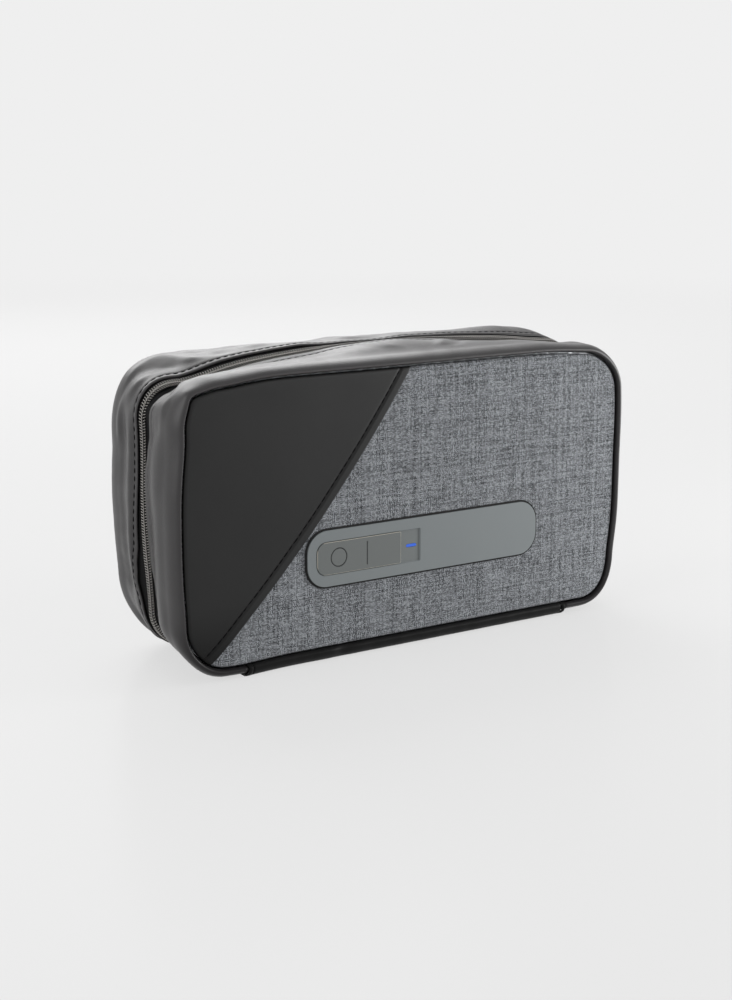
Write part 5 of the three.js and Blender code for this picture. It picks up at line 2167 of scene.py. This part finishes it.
@dataclass(frozen=True)
class Base:
    """The channel of coated cloth under both trays, its lining and the folded tab at each end."""

    crest: float = 1.4
    proud: float = 1.3
    groove_depth: float = 1.1
    groove_gap: float = 0.05
    turn_up: float = 1.2
    turn_back: float = 0.9
    front_length: float = 4.5
    rear_length: float = 7.0
    cloth: float = 0.5
    tab_proud: float = 0.6
    lining_cloth: float = 0.3
    columns: int = 150
    tab_columns: int = 8
    bottom_columns: int = 16
    kink_in: tuple[float, float, float] = (0.7, -36.0, 3.5)
    kink_out: tuple[float, float, float] = (0.35, -44.0, 5.0)
    unrest: tuple[float, float] = (0.35, 0.2)
    waves: tuple[float, float] = (13.0, 5.0)
    proud_share: float = 0.8
    crest_share: float = 0.5
    bottom_rise: float = 0.35
    bottom_wave: float = 17.0
    lining_columns: int = 60
    lining_rows: int = 24
    lining_dip: float = 0.2
    lining_wave: float = 15.0

    def build(self) -> None:
        """Builds the base."""
        low, high = corners("base_panel")
        net = self.net(low.x, high.x, self.columns, 0.0)
        sheet = cloth_sheet("base_coated_cloth", net, self.cloth, turned_over=True)
        # The base and its tabs take the corner patch's darker matt finish, a darker copy of the walls' coated
        # cloth: painted shade under the pouch.
        dress(sheet, "rear_tray", PATCH, ("base_panel",))
        for node in ("left_end_tab", "right_end_tab"):
            first, last = corners(node)
            net = self.net(first.x, last.x, self.tab_columns, self.tab_proud)
            tab = cloth_sheet(f"{node}_cloth", net, self.cloth, turned_over=True)
            dress(tab, "rear_tray", PATCH, (node,))
        self.lining()

    def kink(self, x: float) -> float:
        """How far the front hem is pressed in at one X, beside a place where it is pushed out.

        Args:
            x: The X.

        Returns:
            The distance, which is negative where the hem is pushed out.
        """
        pressed, pushed = (
            height * math.exp(-(((x - middle) / width) ** 2))
            for height, middle, width in (self.kink_in, self.kink_out)
        )
        return pressed - pushed

    def half(self, x: float, swell: float, half: Half) -> list[Vector]:
        """Places from one seam round the roll to the channel's flat bottom.

        Args:
            x: The X at which they are taken.
            swell: How far a tab stands out past the channel there.
            half: The tray whose seam it is.

        Returns:
            The places. The rear ones start with the edge that is turned in behind the seam.
        """
        is_front = half is Half.FRONT
        length, seed = (self.front_length, 1.0) if is_front else (self.rear_length, 6.0)
        kink = self.kink(x) if is_front else 0.0
        slow = self.unrest[0] * ripple(x / self.waves[0], seed)
        quick = self.unrest[1] * ripple(x / self.waves[1], seed + 2)
        proud = self.proud + swell + (slow + quick) * self.proud_share - kink
        crest = self.crest + self.crest_share * (slow + quick + kink)
        end = length - self.proud
        points = [] if is_front else [(-self.turn_up, self.groove_depth + self.turn_back)]
        for angle in quarter(6):
            out = crest - (crest - self.groove_gap) * math.sin(angle)
            points.append((out, self.groove_depth - (self.groove_depth + proud) * math.cos(angle)))
        for angle in (*quarter(12), 0.0):
            out = crest + (PATH.foot - crest) * math.cos(angle)
            points.append((out, end - (end + proud) * math.sin(angle)))
        ys = [half.value * (PATH.half_depth - depth) for _, depth in points]
        return [Vector((x, y, PATH.foot - out)) for y, (out, _) in zip(ys, points)]

    def section(self, x: float, swell: float) -> list[Vector]:
        """Places round the channel at one X, from the front seam to the edge behind the rear seam.

        Args:
            x: The X.
            swell: How far a tab stands out past the channel there.

        Returns:
            The places, in order.
        """
        front, rear = (self.half(x, swell, half) for half in Half)
        steps = self.bottom_columns
        bottom = [front[-1].lerp(rear[-1], k / steps) for k in range(1, steps)]
        for k, place in enumerate(bottom):
            lift = (1 + ripple(x / self.bottom_wave, k / 4)) / 2
            place.z += self.bottom_rise * lift * math.sin(math.pi * (k + 1) / steps)
        return front + bottom + rear[::-1]

    def net(self, start: float, end: float, columns: int, swell: float) -> Net:
        """Places of the channel between two ends. A tab swells in its middle.

        Args:
            start: X of the first end.
            end: X of the last end.
            columns: The number of steps between them.
            swell: How far a tab's middle stands out past the channel.

        Returns:
            The net, one list for each column.
        """
        net = []
        for i in range(columns + 1):
            share = i / columns
            fullness = swell * math.sin(math.pi * share) ** 0.5 if swell else 0.0
            net.append(self.section(mix(start, end, share), fullness))
        return net

    def lining(self) -> None:
        """The flat lining on the base."""
        low, high = corners("base_lining")
        net = []
        ys = [mix(low.y, high.y, j / self.lining_rows) for j in range(self.lining_rows + 1)]
        for i in range(self.lining_columns + 1):
            x = mix(low.x, high.x, i / self.lining_columns)
            dips = [ripple(x / self.lining_wave, y / self.lining_wave, 1.0) ** 2 for y in ys]
            net.append([Vector((x, y, high.z - self.lining_dip * dip)) for y, dip in zip(ys, dips)])
        sheet = cloth_sheet("base_lining_film", net, self.lining_cloth)
        dress(sheet, "rear_tray", LINING, ("base_lining",))


@dataclass(frozen=True)
class LampModule:
    """The moulded strip with its knob on the front, and the case inside the pouch."""

    flange: float = 0.7
    body_inset: float = 3.3
    wall: float = 1.6
    floor: float = 1.3
    back_depth: float = 7.0
    corner: float = 9.0
    pocket_gap: float = 0.34
    pocket_slope: float = 0.32
    strip_trim: float = 0.8
    knob_overhang: float = 0.8
    knob_trim: float = 0.6
    knob_corner: float = 4.2
    knob_nose: float = 0.6
    knob_thickness: float = 0.65
    knob_edge: float = 0.3
    knob_travel: float = 9.6
    ring_radius: float = 3.7
    ring_inset: float = 10.2
    bar_inset: float = 23.8
    bar_height: float = 9.6
    line: float = 0.48
    line_depth: float = 0.28
    stem: tuple[float, float] = (6.0, 4.0)
    lever: float = 2.2
    lever_pocket: float = 1.2
    gasket_rim: float = 0.8
    gasket_lip: float = 0.35
    lens_rim: float = 1.1
    lens_trim: float = 0.3
    boss: float = 4.6
    pilot: float = 2.2
    case_wall: float = 1.8
    column: float = 5.4
    window_hole: float = 7.0
    window_gap: float = 0.3
    screw_hole: float = 2.4
    screw_head: float = 3.8
    head_height: float = 1.3
    head_gap: float = 0.4
    sensor_hole: float = 2.4
    port_gap: float = 0.3
    piece_gap: float = 0.1
    seat_gap: float = 0.03
    pilot_gap: float = 0.4
    round_rest: float = 0.01
    lens_rise: float = 0.02
    paint_reach: float = 0.05
    case_round: float = 1.3
    head_round: float = 0.4
    shaft: float = 2.0
    key: float = 1.7
    key_depth: float = 0.7
    cup_corner: float = 0.2
    cup_share: float = 0.72
    cup_depth: float = 0.5
    die: float = 1.1
    die_foot: float = 0.8
    die_top: float = 0.25
    overrun: float = 1.0
    strip_edge: float = 0.22
    gasket_edge: float = 0.08
    lens_edge: float = 0.14
    case_edge: float = 0.2
    screw_edge: float = 0.05
    pane_edge: float = 0.12
    lamp_edge: float = 0.06

    def build(self) -> None:
        """Builds the module's visible pieces."""
        self.strip()
        self.gasket()
        self.knob()
        self.lens()
        self.case()
        for k in range(1, 5):
            self.screw(k)
        for k in range(1, 4):
            self.window(k)
            self.lamp(k)

    @property
    def plate(self) -> Bounds:
        """Bounds of the strip's face, which ends a little before the CAD's."""
        strip = Bounds.of("control_strip")
        return replace(strip, right=strip.right - self.strip_trim)

    @property
    def knob_bounds(self) -> Bounds:
        """Bounds of the knob's face, which lies a little further left than the CAD's."""
        knob = Bounds.of("power_knob")
        return replace(knob, left=knob.left - self.knob_overhang, right=knob.right - self.knob_trim)

    @property
    def pocket(self) -> Bounds:
        """Bounds of the pocket that the knob slides in."""
        knob = self.knob_bounds.grown(self.pocket_gap)
        return replace(knob, right=knob.right + self.knob_travel)

    @property
    def screws(self) -> list[Bounds]:
        """Bounds of the four screws."""
        return [Bounds.of(f"case_screw_{k}") for k in range(1, 5)]

    @property
    def stem_x(self) -> float:
        """X of the knob's stem."""
        return Bounds.of("power_knob").x

    @property
    def knob_back(self) -> float:
        """Y of the rear face of the knob's plate."""
        return corners("power_knob")[0].y + self.knob_thickness

    def strip(self) -> None:
        """The strip: a thin flange on the cloth, a body behind it, the knob's pocket and screw bosses."""
        face = corners("control_strip")[0].y
        back = -PATH.half_depth + self.back_depth
        body = self.plate.grown(-self.body_inset)
        floor_back = face + self.floor
        overlap = floor_back - self.floor / 2
        pocket_floor = self.knob_back + self.piece_gap
        pocket_back = pocket_floor + self.floor
        near, through = pocket_floor - self.overrun, pocket_back + self.overrun
        inner = body.grown(-self.wall)
        round_body = self.corner - self.body_inset
        piece = Moulding("control_strip_moulding", slab(self.plate, face, face + self.flange, self.corner))
        piece.join(slab(body, face + self.flange / 2, back, round_body))
        piece.cut(slab(inner, floor_back, back + self.overrun, round_body - self.wall))
        block = self.pocket.grown(self.floor)
        piece.join(slab(block, overlap, pocket_back, self.knob_corner + self.floor, self.knob_nose))
        piece.join(*(peg(s.x, s.z, self.boss, overlap, back) for s in self.screws))
        round_pocket = self.knob_corner + self.pocket_gap
        hollow = slab(self.pocket, face - self.overrun, pocket_floor, round_pocket, self.knob_nose)
        round_off(hollow, edges_at(hollow, pocket_floor), self.pocket_slope, "EDGES", 1)
        stem = Bounds.about(self.stem_x, self.knob_bounds.z, *self.stem).grown(self.pocket_gap)
        slot = replace(stem, right=stem.right + self.knob_travel)
        hole = Bounds.of("indicator_lens").grown(-self.lens_rim)
        round_hole = hole.height / 2 - self.round_rest
        piece.cut(hollow, slab(slot, near, through), slab(hole, near, through, round_hole))
        front = corners("case_screw_1")[0].y - self.pilot_gap
        piece.cut(*(peg(s.x, s.z, self.pilot, front, back + self.overrun) for s in self.screws))
        obj = dress(piece.finish(self.strip_edge), "lid", STRIP, ("control_strip",))
        # The pocket's floor gets a darker grey than the strip: painted shade in the recess.
        reach, pocket = self.paint_reach, self.pocket
        paint(obj, RECESS_SHADE, lambda place: abs(place.y - pocket_floor) < reach and pocket.holds(place))

    def gasket(self) -> None:
        """The thin dark gasket that shows as a line round the strip."""
        low, high = corners("strip_gasket")
        rim, round_rim = self.plate.grown(self.gasket_rim), self.corner + self.gasket_rim
        hole, round_hole = self.plate.grown(self.piece_gap - self.body_inset), self.corner - self.body_inset
        near = low.y - self.overrun
        piece = Moulding("strip_gasket_moulding", slab(rim, low.y, high.y, round_rim))
        piece.join(slab(rim, low.y - self.gasket_lip, high.y, round_rim))
        seat = slab(self.plate.grown(self.seat_gap), near, low.y, self.corner)
        piece.cut(seat, slab(hole, near, high.y + self.overrun, round_hole))
        dress(piece.finish(self.gasket_edge), "lid", GASKET, ("strip_gasket",))

    def knob(self) -> None:
        """The knob's plate with its ring and bar cut in, and the stem that carries the switch's lever."""
        bounds = self.knob_bounds
        face, stem_end = (corner.y for corner in corners("power_knob"))
        stem = Bounds.about(self.stem_x, bounds.z, *self.stem)
        plate = slab(bounds, face, self.knob_back, self.knob_corner, self.knob_nose)
        piece = Moulding("power_knob_moulding", plate)
        piece.join(slab(stem, self.knob_back - self.knob_thickness / 2, stem_end))
        ring_x = bounds.left + self.ring_inset
        bar = Bounds.about(bounds.left + self.bar_inset, bounds.z, self.line, self.bar_height)
        floor = face + self.line_depth
        socket = Bounds.about(self.stem_x, bounds.z, self.lever, self.lever)
        piece.cut(
            ring(ring_x, bounds.z, self.ring_radius, self.line, face - self.overrun, floor),
            slab(bar, face - self.overrun, floor),
            slab(socket, stem_end - self.lever_pocket, stem_end + self.overrun),
        )
        obj = dress(piece.finish(self.knob_edge), "knob", KNOB, ("power_knob",))
        # The floors of the ring and the bar are painted near black: painted shade in the grooves.
        paint(obj, GROOVE_SHADE, lambda place: abs(place.y - floor) < self.paint_reach)
        # The slanting bevel faces round the knob's face get the light finish: a painted highlight along the
        # edge.
        inner, wear_and_edge_highlight = bounds.grown(-self.knob_edge), face + self.knob_edge
        paint(obj, KNOB_EDGE_HIGHLIGHT, lambda place: place.y < wear_and_edge_highlight and not inner.holds(place), SLANTING)

    def lens(self) -> None:
        """The lit end of the light pipe in the pocket's floor."""
        back = corners("indicator_lens")[1].y
        whole = Bounds.of("indicator_lens").grown(-self.lens_rim)
        face = Bounds.about(whole.x, whole.z, whole.width, whole.height - self.lens_trim)
        end = slab(face, self.knob_back + self.lens_rise, back, face.height / 2 - self.round_rest)
        piece = Moulding("indicator_lens_moulding", end)
        dress(piece.finish(self.lens_edge), "lid", LENS, ("indicator_lens",))

    def case(self) -> None:
        """The case: a tray with screw columns, and holes for lamps, sensor and charging socket."""
        low, high = corners("lamp_case")
        bounds = Bounds.of("lamp_case")
        floor = high.y - self.case_wall
        near, through = floor - self.overrun, high.y + self.overrun
        shell = slab(bounds, low.y, high.y, self.corner)
        round_off(shell, edges_at(shell, high.y), self.case_round, "EDGES", 4)
        piece = Moulding("lamp_case_moulding", shell)
        inner = bounds.grown(-self.case_wall)
        piece.cut(slab(inner, low.y - self.overrun, floor, self.corner - self.case_wall))
        start = -PATH.half_depth + self.back_depth + self.piece_gap
        piece.join(*(peg(s.x, s.z, self.column, start, floor + self.case_wall / 2) for s in self.screws))
        seat = corners("case_screw_1")[1].y - self.head_height - self.piece_gap
        piece.cut(*(peg(s.x, s.z, self.screw_hole, start - self.overrun, through) for s in self.screws))
        piece.cut(*(peg(s.x, s.z, self.screw_head + self.head_gap, seat, through) for s in self.screws))
        for k in range(1, 4):
            pane = Bounds.of(f"uv_window_{k}")
            behind = corners(f"uv_window_{k}")[0].y - self.piece_gap
            piece.cut(peg(pane.x, pane.z, self.window_hole, near, through))
            piece.cut(peg(pane.x, pane.z, pane.width + self.window_gap, behind, through))
        sensor = Bounds.of("lid_sensor")
        piece.cut(peg(sensor.x, sensor.z, self.sensor_hole, near, through))
        port_low, port_high = corners("charge_socket")
        mouth = Bounds.of("charge_socket").grown(self.port_gap)
        mouth = replace(mouth, foot=bounds.foot - self.overrun)
        piece.cut(slab(mouth, port_low.y - self.port_gap, port_high.y + self.port_gap))
        dress(piece.finish(self.case_edge), "lid", CASING, ("lamp_case",))

    def screw(self, k: int) -> None:
        """A machine screw with a round head and a hexagonal recess.

        Args:
            k: The screw's number.
        """
        low, high = corners(f"case_screw_{k}")
        place = Bounds.of(f"case_screw_{k}")
        seat = high.y - self.head_height
        head = peg(place.x, place.z, self.screw_head, seat, high.y)
        round_off(head, edges_at(head, high.y), self.head_round, "EDGES", 4)
        piece = Moulding(f"case_screw_{k}_turned", head)
        piece.join(peg(place.x, place.z, self.shaft, low.y, seat + self.head_height / 2))
        piece.cut(peg(place.x, place.z, self.key, high.y - self.key_depth, high.y + self.overrun, 6))
        dress(piece.finish(self.screw_edge, 1), "lid", STEEL, (f"case_screw_{k}",))

    def window(self, k: int) -> None:
        """A round quartz pane with a ground edge.

        Args:
            k: The window's number.
        """
        low, high = corners(f"uv_window_{k}")
        place = Bounds.of(f"uv_window_{k}")
        piece = Moulding(f"uv_window_{k}_pane", peg(place.x, place.z, place.width, low.y, high.y, 64))
        dress(piece.finish(self.pane_edge), "lid", WINDOW, (f"uv_window_{k}",))

    def lamp(self, k: int) -> None:
        """A lamp in its ceramic cup.

        Args:
            k: The lamp's number.
        """
        low, high = corners(f"uv_led_{k}")
        place = Bounds.of(f"uv_led_{k}")
        cup = place.width * self.cup_share
        piece = Moulding(f"uv_led_{k}_package", slab(place, low.y, high.y, self.cup_corner))
        piece.cut(peg(place.x, place.z, cup, high.y - self.cup_depth, high.y + self.overrun))
        die = Bounds.about(place.x, place.z, self.die, self.die)
        piece.join(slab(die, high.y - self.die_foot, high.y - self.die_top))
        dress(piece.finish(self.lamp_edge, 1), "lid", CERAMIC, (f"uv_led_{k}",))


@dataclass(frozen=True)
class Slider:
    """The zip's slider with its bridge, and the pull tab that hangs from it."""

    plate: float = 0.8
    corner: float = 1.6
    bridge_width: float = 2.2
    bridge_leg: float = 1.0
    bridge_bar: float = 0.55
    bridge_length: float = 6.4
    post: tuple[float, float] = (0.4, 3.0)
    post_inset: float = 0.6
    flange_place: float = 2.5
    pull_thickness: float = 0.8
    bar: float = 0.8
    throat: float = 4.2
    arm: float = 1.1
    tip: float = 1.6
    tip_share: float = 0.6
    throat_corner: float = 0.5
    bar_gap: float = 0.4
    rail_drop: float = 1.2
    grips: int = 5
    first_grip: float = 3.0
    grip_pitch: float = 1.3
    grip_inset: float = 1.1
    grip_half: float = 0.3
    grip_depth: float = 0.16
    grip_corner: float = 0.2
    overrun: float = 1.0
    casting_edge: float = 0.18
    pull_edge: float = 0.16

    def build(self) -> None:
        """Builds the slider and its pull."""
        self.slider()
        self.pull()

    def slider(self) -> None:
        """Two plates, the post between the coils, the flange behind the rear coil, and the bridge."""
        low, high = corners("zip_slider")
        face = Bounds(low.y, high.y, low.z, high.z)
        top = high.x - self.bridge_bar - self.bar - self.bar_gap
        under = low.x + self.plate
        piece = Moulding("zip_slider_casting", turned(slab(face, -top, self.plate - top, self.corner)))
        bottom = turned(slab(face, -under, -low.x, self.corner))
        post_head = face.head - self.post_inset
        post = Bounds(-self.post[0] / 2, self.post[0] / 2, post_head - self.post[1], post_head)
        piece.join(turned(slab(post, -top + self.plate / 2, -under + self.plate / 2)), bottom)
        rail = Bounds(self.flange_place, high.y, face.foot + self.corner, face.head - self.corner)
        coil_foot = PATH.half_width + PATH.side_lip - self.rail_drop
        piece.join(turned(slab(rail, -top + self.plate / 2, -coil_foot)))
        arch = Bounds.about(0.0, face.z, self.bridge_width, self.bridge_length)
        piece.join(turned(slab(arch, -high.x, -top + self.plate / 2)))
        eye = Bounds.about(0.0, face.z, 2 * self.bridge_width, self.bridge_length - 2 * self.bridge_leg)
        piece.cut(turned(slab(eye, -high.x + self.bridge_bar, -top)))
        dress(piece.finish(self.casting_edge, 3), "zip_runner", SLIDER, ("zip_slider",))

    def pull(self) -> None:
        """The pull: a cross bar in the bridge, two arms and a plate with a grip's ribs."""
        low, high = corners("zip_pull")
        middle = (low.x + high.x) / 2
        bar_z = high.z - self.bar / 2
        near, far = -middle - self.pull_thickness / 2, -middle + self.pull_thickness / 2
        face = Bounds(low.y, high.y, low.z, bar_z)
        piece = Moulding("zip_pull_casting", turned(slab(face, near, far, self.tip * self.tip_share)))
        throat = Bounds(low.y + self.arm, high.y - self.arm, bar_z - self.throat, bar_z + self.tip)
        piece.cut(turned(slab(throat, near - self.overrun, far + self.overrun, self.throat_corner)))
        rod = bmesh.new()
        long, round_rod = high.y - low.y, self.bar / 2
        bmesh.ops.create_cone(
            rod, cap_ends=True, segments=20, radius1=round_rod, radius2=round_rod, depth=long
        )
        bmesh.ops.rotate(rod, matrix=Matrix.Rotation(math.pi / 2, 3, "X"), verts=rod.verts)
        bmesh.ops.translate(rod, vec=Vector((middle, (low.y + high.y) / 2, bar_z)), verts=rod.verts)
        piece.join(rod)
        left, right = low.y + self.grip_inset, high.y - self.grip_inset
        for k in range(self.grips):
            z = low.z + self.first_grip + self.grip_pitch * k
            groove = Bounds(left, right, z - self.grip_half, z + self.grip_half)
            piece.cut(turned(slab(groove, near - self.overrun, near + self.grip_depth, self.grip_corner)))
        dress(piece.finish(self.pull_edge, 3), "pull_tab", SLIDER, ("zip_pull",))


def turned(bm: Solid) -> Solid:
    """Turns a plate about the upright axis, so that its X lies in Y and its Y in -X."""
    bmesh.ops.rotate(bm, matrix=Matrix.Rotation(math.pi / 2, 3, "Z"), verts=bm.verts)
    return bm


@dataclass(frozen=True)
class CarriedOver:
    """CAD nodes that keep their own mesh, with the finish that each gets."""

    def build(self) -> None:
        """Dresses each node."""
        finishes = {
            FIBREBOARD: ("front_board", "rear_board", "base_board"),
            SLIDER: ("front_stop_left", "front_stop_right", "rear_stop_left", "rear_stop_right"),
            BOARD: ("circuit_board",),
            COMPONENT: ("slide_switch", "lid_sensor", "controller_chip", "knob_clip", "switch_lever"),
            CERAMIC: ("indicator_led",),
            FOIL: ("battery_cell",),
            GASKET: ("battery_pad",),
            STEEL: ("charge_socket",),
        }
        for finish, nodes in finishes.items():
            for node in nodes:
                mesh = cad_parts[node].data
                mesh.materials.clear()
                mesh.materials.append(finish.material())
                log.info("%s: %s", node, finish.name)


@dataclass(frozen=True)
class Studio:
    """A pale table in a pale room, soft lamps, and the camera."""

    table_radius: float = 2.4
    fade_start: float = 0.8
    fade_end: float = 2.0
    pale: float = 0.863
    light: float = 0.455
    floor_color: str = "#ededed"
    floor_roughness: float = 0.25
    floor_gloss: float = 0.04
    sheer: float = 0.74
    camera_place: Place = (-0.41528, -0.59947, 0.20692)
    camera_elevation: float = 11.75
    camera_azimuth: float = -34.48
    lens: float = 63.72
    sensor: float = 36.0
    near_clip: float = 0.01
    aim: Place = (0.0, 0.0, 0.06)
    lamps: tuple[tuple[str, Place, float, float], ...] = (
        ("rear_lamp", (0.3, 1.15, 0.98), 1.2, 13.0),
        ("left_lamp", (-1.3, 0.1, 0.6), 1.0, 5.0),
        ("front_lamp", (0.5, -0.25, 0.12), 0.22, 1.65),
    )

    def build(self) -> None:
        """Builds the table, the room, the lamps and the camera."""
        self.table()
        self.room()
        for lamp in self.lamps:
            self.lamp(*lamp)
        self.camera()
        bpy.context.scene.view_settings.view_transform = "Standard"

    def table(self) -> None:
        """A round top of sheer white acrylic, which lets the pale room through and fades into it."""
        bm = bmesh.new()
        bmesh.ops.create_circle(bm, cap_ends=True, segments=96, radius=self.table_radius / MM)
        top = to_object(bm, "table_top")
        material = bpy.data.materials.new("satin_white_acrylic")
        material.use_nodes = True
        tree = material.node_tree
        surface = tree.nodes["Principled BSDF"]
        plain = {"Base Color": linear(self.floor_color), "Roughness": self.floor_roughness}
        feed(tree, surface, {**plain, "Specular IOR Level": self.floor_gloss})
        place = add(tree, "ShaderNodeTexCoord").outputs[Chart.ROW.value]
        far = add(tree, "ShaderNodeVectorMath", {0: place}, operation="LENGTH").outputs["Value"]
        fades = {"Value": far, "From Min": self.fade_start, "From Max": self.fade_end, "To Min": self.sheer}
        fade = add(tree, "ShaderNodeMapRange", fades, interpolation_type="SMOOTHSTEP").outputs[0]
        clear = add(tree, "ShaderNodeBsdfTransparent").outputs[0]
        both = add(tree, "ShaderNodeMixShader", {0: fade, 1: surface.outputs[0], 2: clear}).outputs[0]
        feed(tree, tree.nodes["Material Output"], {"Surface": both})
        top.data.materials.append(material)

    def room(self) -> None:
        """The room: pale for the camera, for mirrors and for glass, and an even light for the rest."""
        world = bpy.data.worlds.new("pale_room")
        world.use_nodes = True
        tree = world.node_tree
        ray = add(tree, "ShaderNodeLightPath").outputs
        mirrored = {0: ray["Is Glossy Ray"], 1: ray["Is Transmission Ray"]}
        through = add(tree, "ShaderNodeMath", mirrored, operation="ADD").outputs[0]
        straight = {0: ray["Is Camera Ray"], 1: through}
        seen = add(tree, "ShaderNodeMath", straight, operation="ADD", use_clamp=True).outputs[0]
        share = {0: seen, 2: self.light, 3: self.pale}
        strength = add(tree, "ShaderNodeMix", share, data_type="FLOAT").outputs[0]
        feed(tree, tree.nodes["Background"], {"Color": linear("#ffffff"), "Strength": strength})
        bpy.context.scene.world = world

    def lamp(self, name: str, place: Place, size: float, power: float) -> None:
        """A square soft lamp that points at the pouch.

        Args:
            name: The lamp's name.
            place: Its place in metres.
            size: Its side in metres.
            power: Its power in watts.
        """
        light = bpy.data.lights.new(name, "AREA")
        light.shape = "SQUARE"
        light.size = size
        light.energy = power
        obj = shown(name, light)
        obj.location = place
        way = Vector(self.aim) - Vector(place)
        obj.rotation_euler = way.to_track_quat("-Z", "Y").to_euler()

    def camera(self) -> None:
        """The camera at the photograph's place and angle."""
        data = bpy.data.cameras.new("camera")
        data.lens = self.lens
        data.sensor_width = self.sensor
        data.clip_start = self.near_clip
        obj = shown("camera", data)
        obj.location = self.camera_place
        tilt = math.radians(90 - self.camera_elevation)
        obj.rotation_euler = (tilt, 0.0, math.radians(self.camera_azimuth))
        bpy.context.scene.camera = obj


def main() -> None:
    """Builds the studio and every piece of the pouch."""
    logging.basicConfig(level=logging.INFO, format="%(name)s %(message)s")
    for assembly in (Studio(), Walls(), Zip(), Panels(), Base(), LampModule(), Slider(), CarriedOver()):
        assembly.build()


if __name__ == "__main__":
    main()
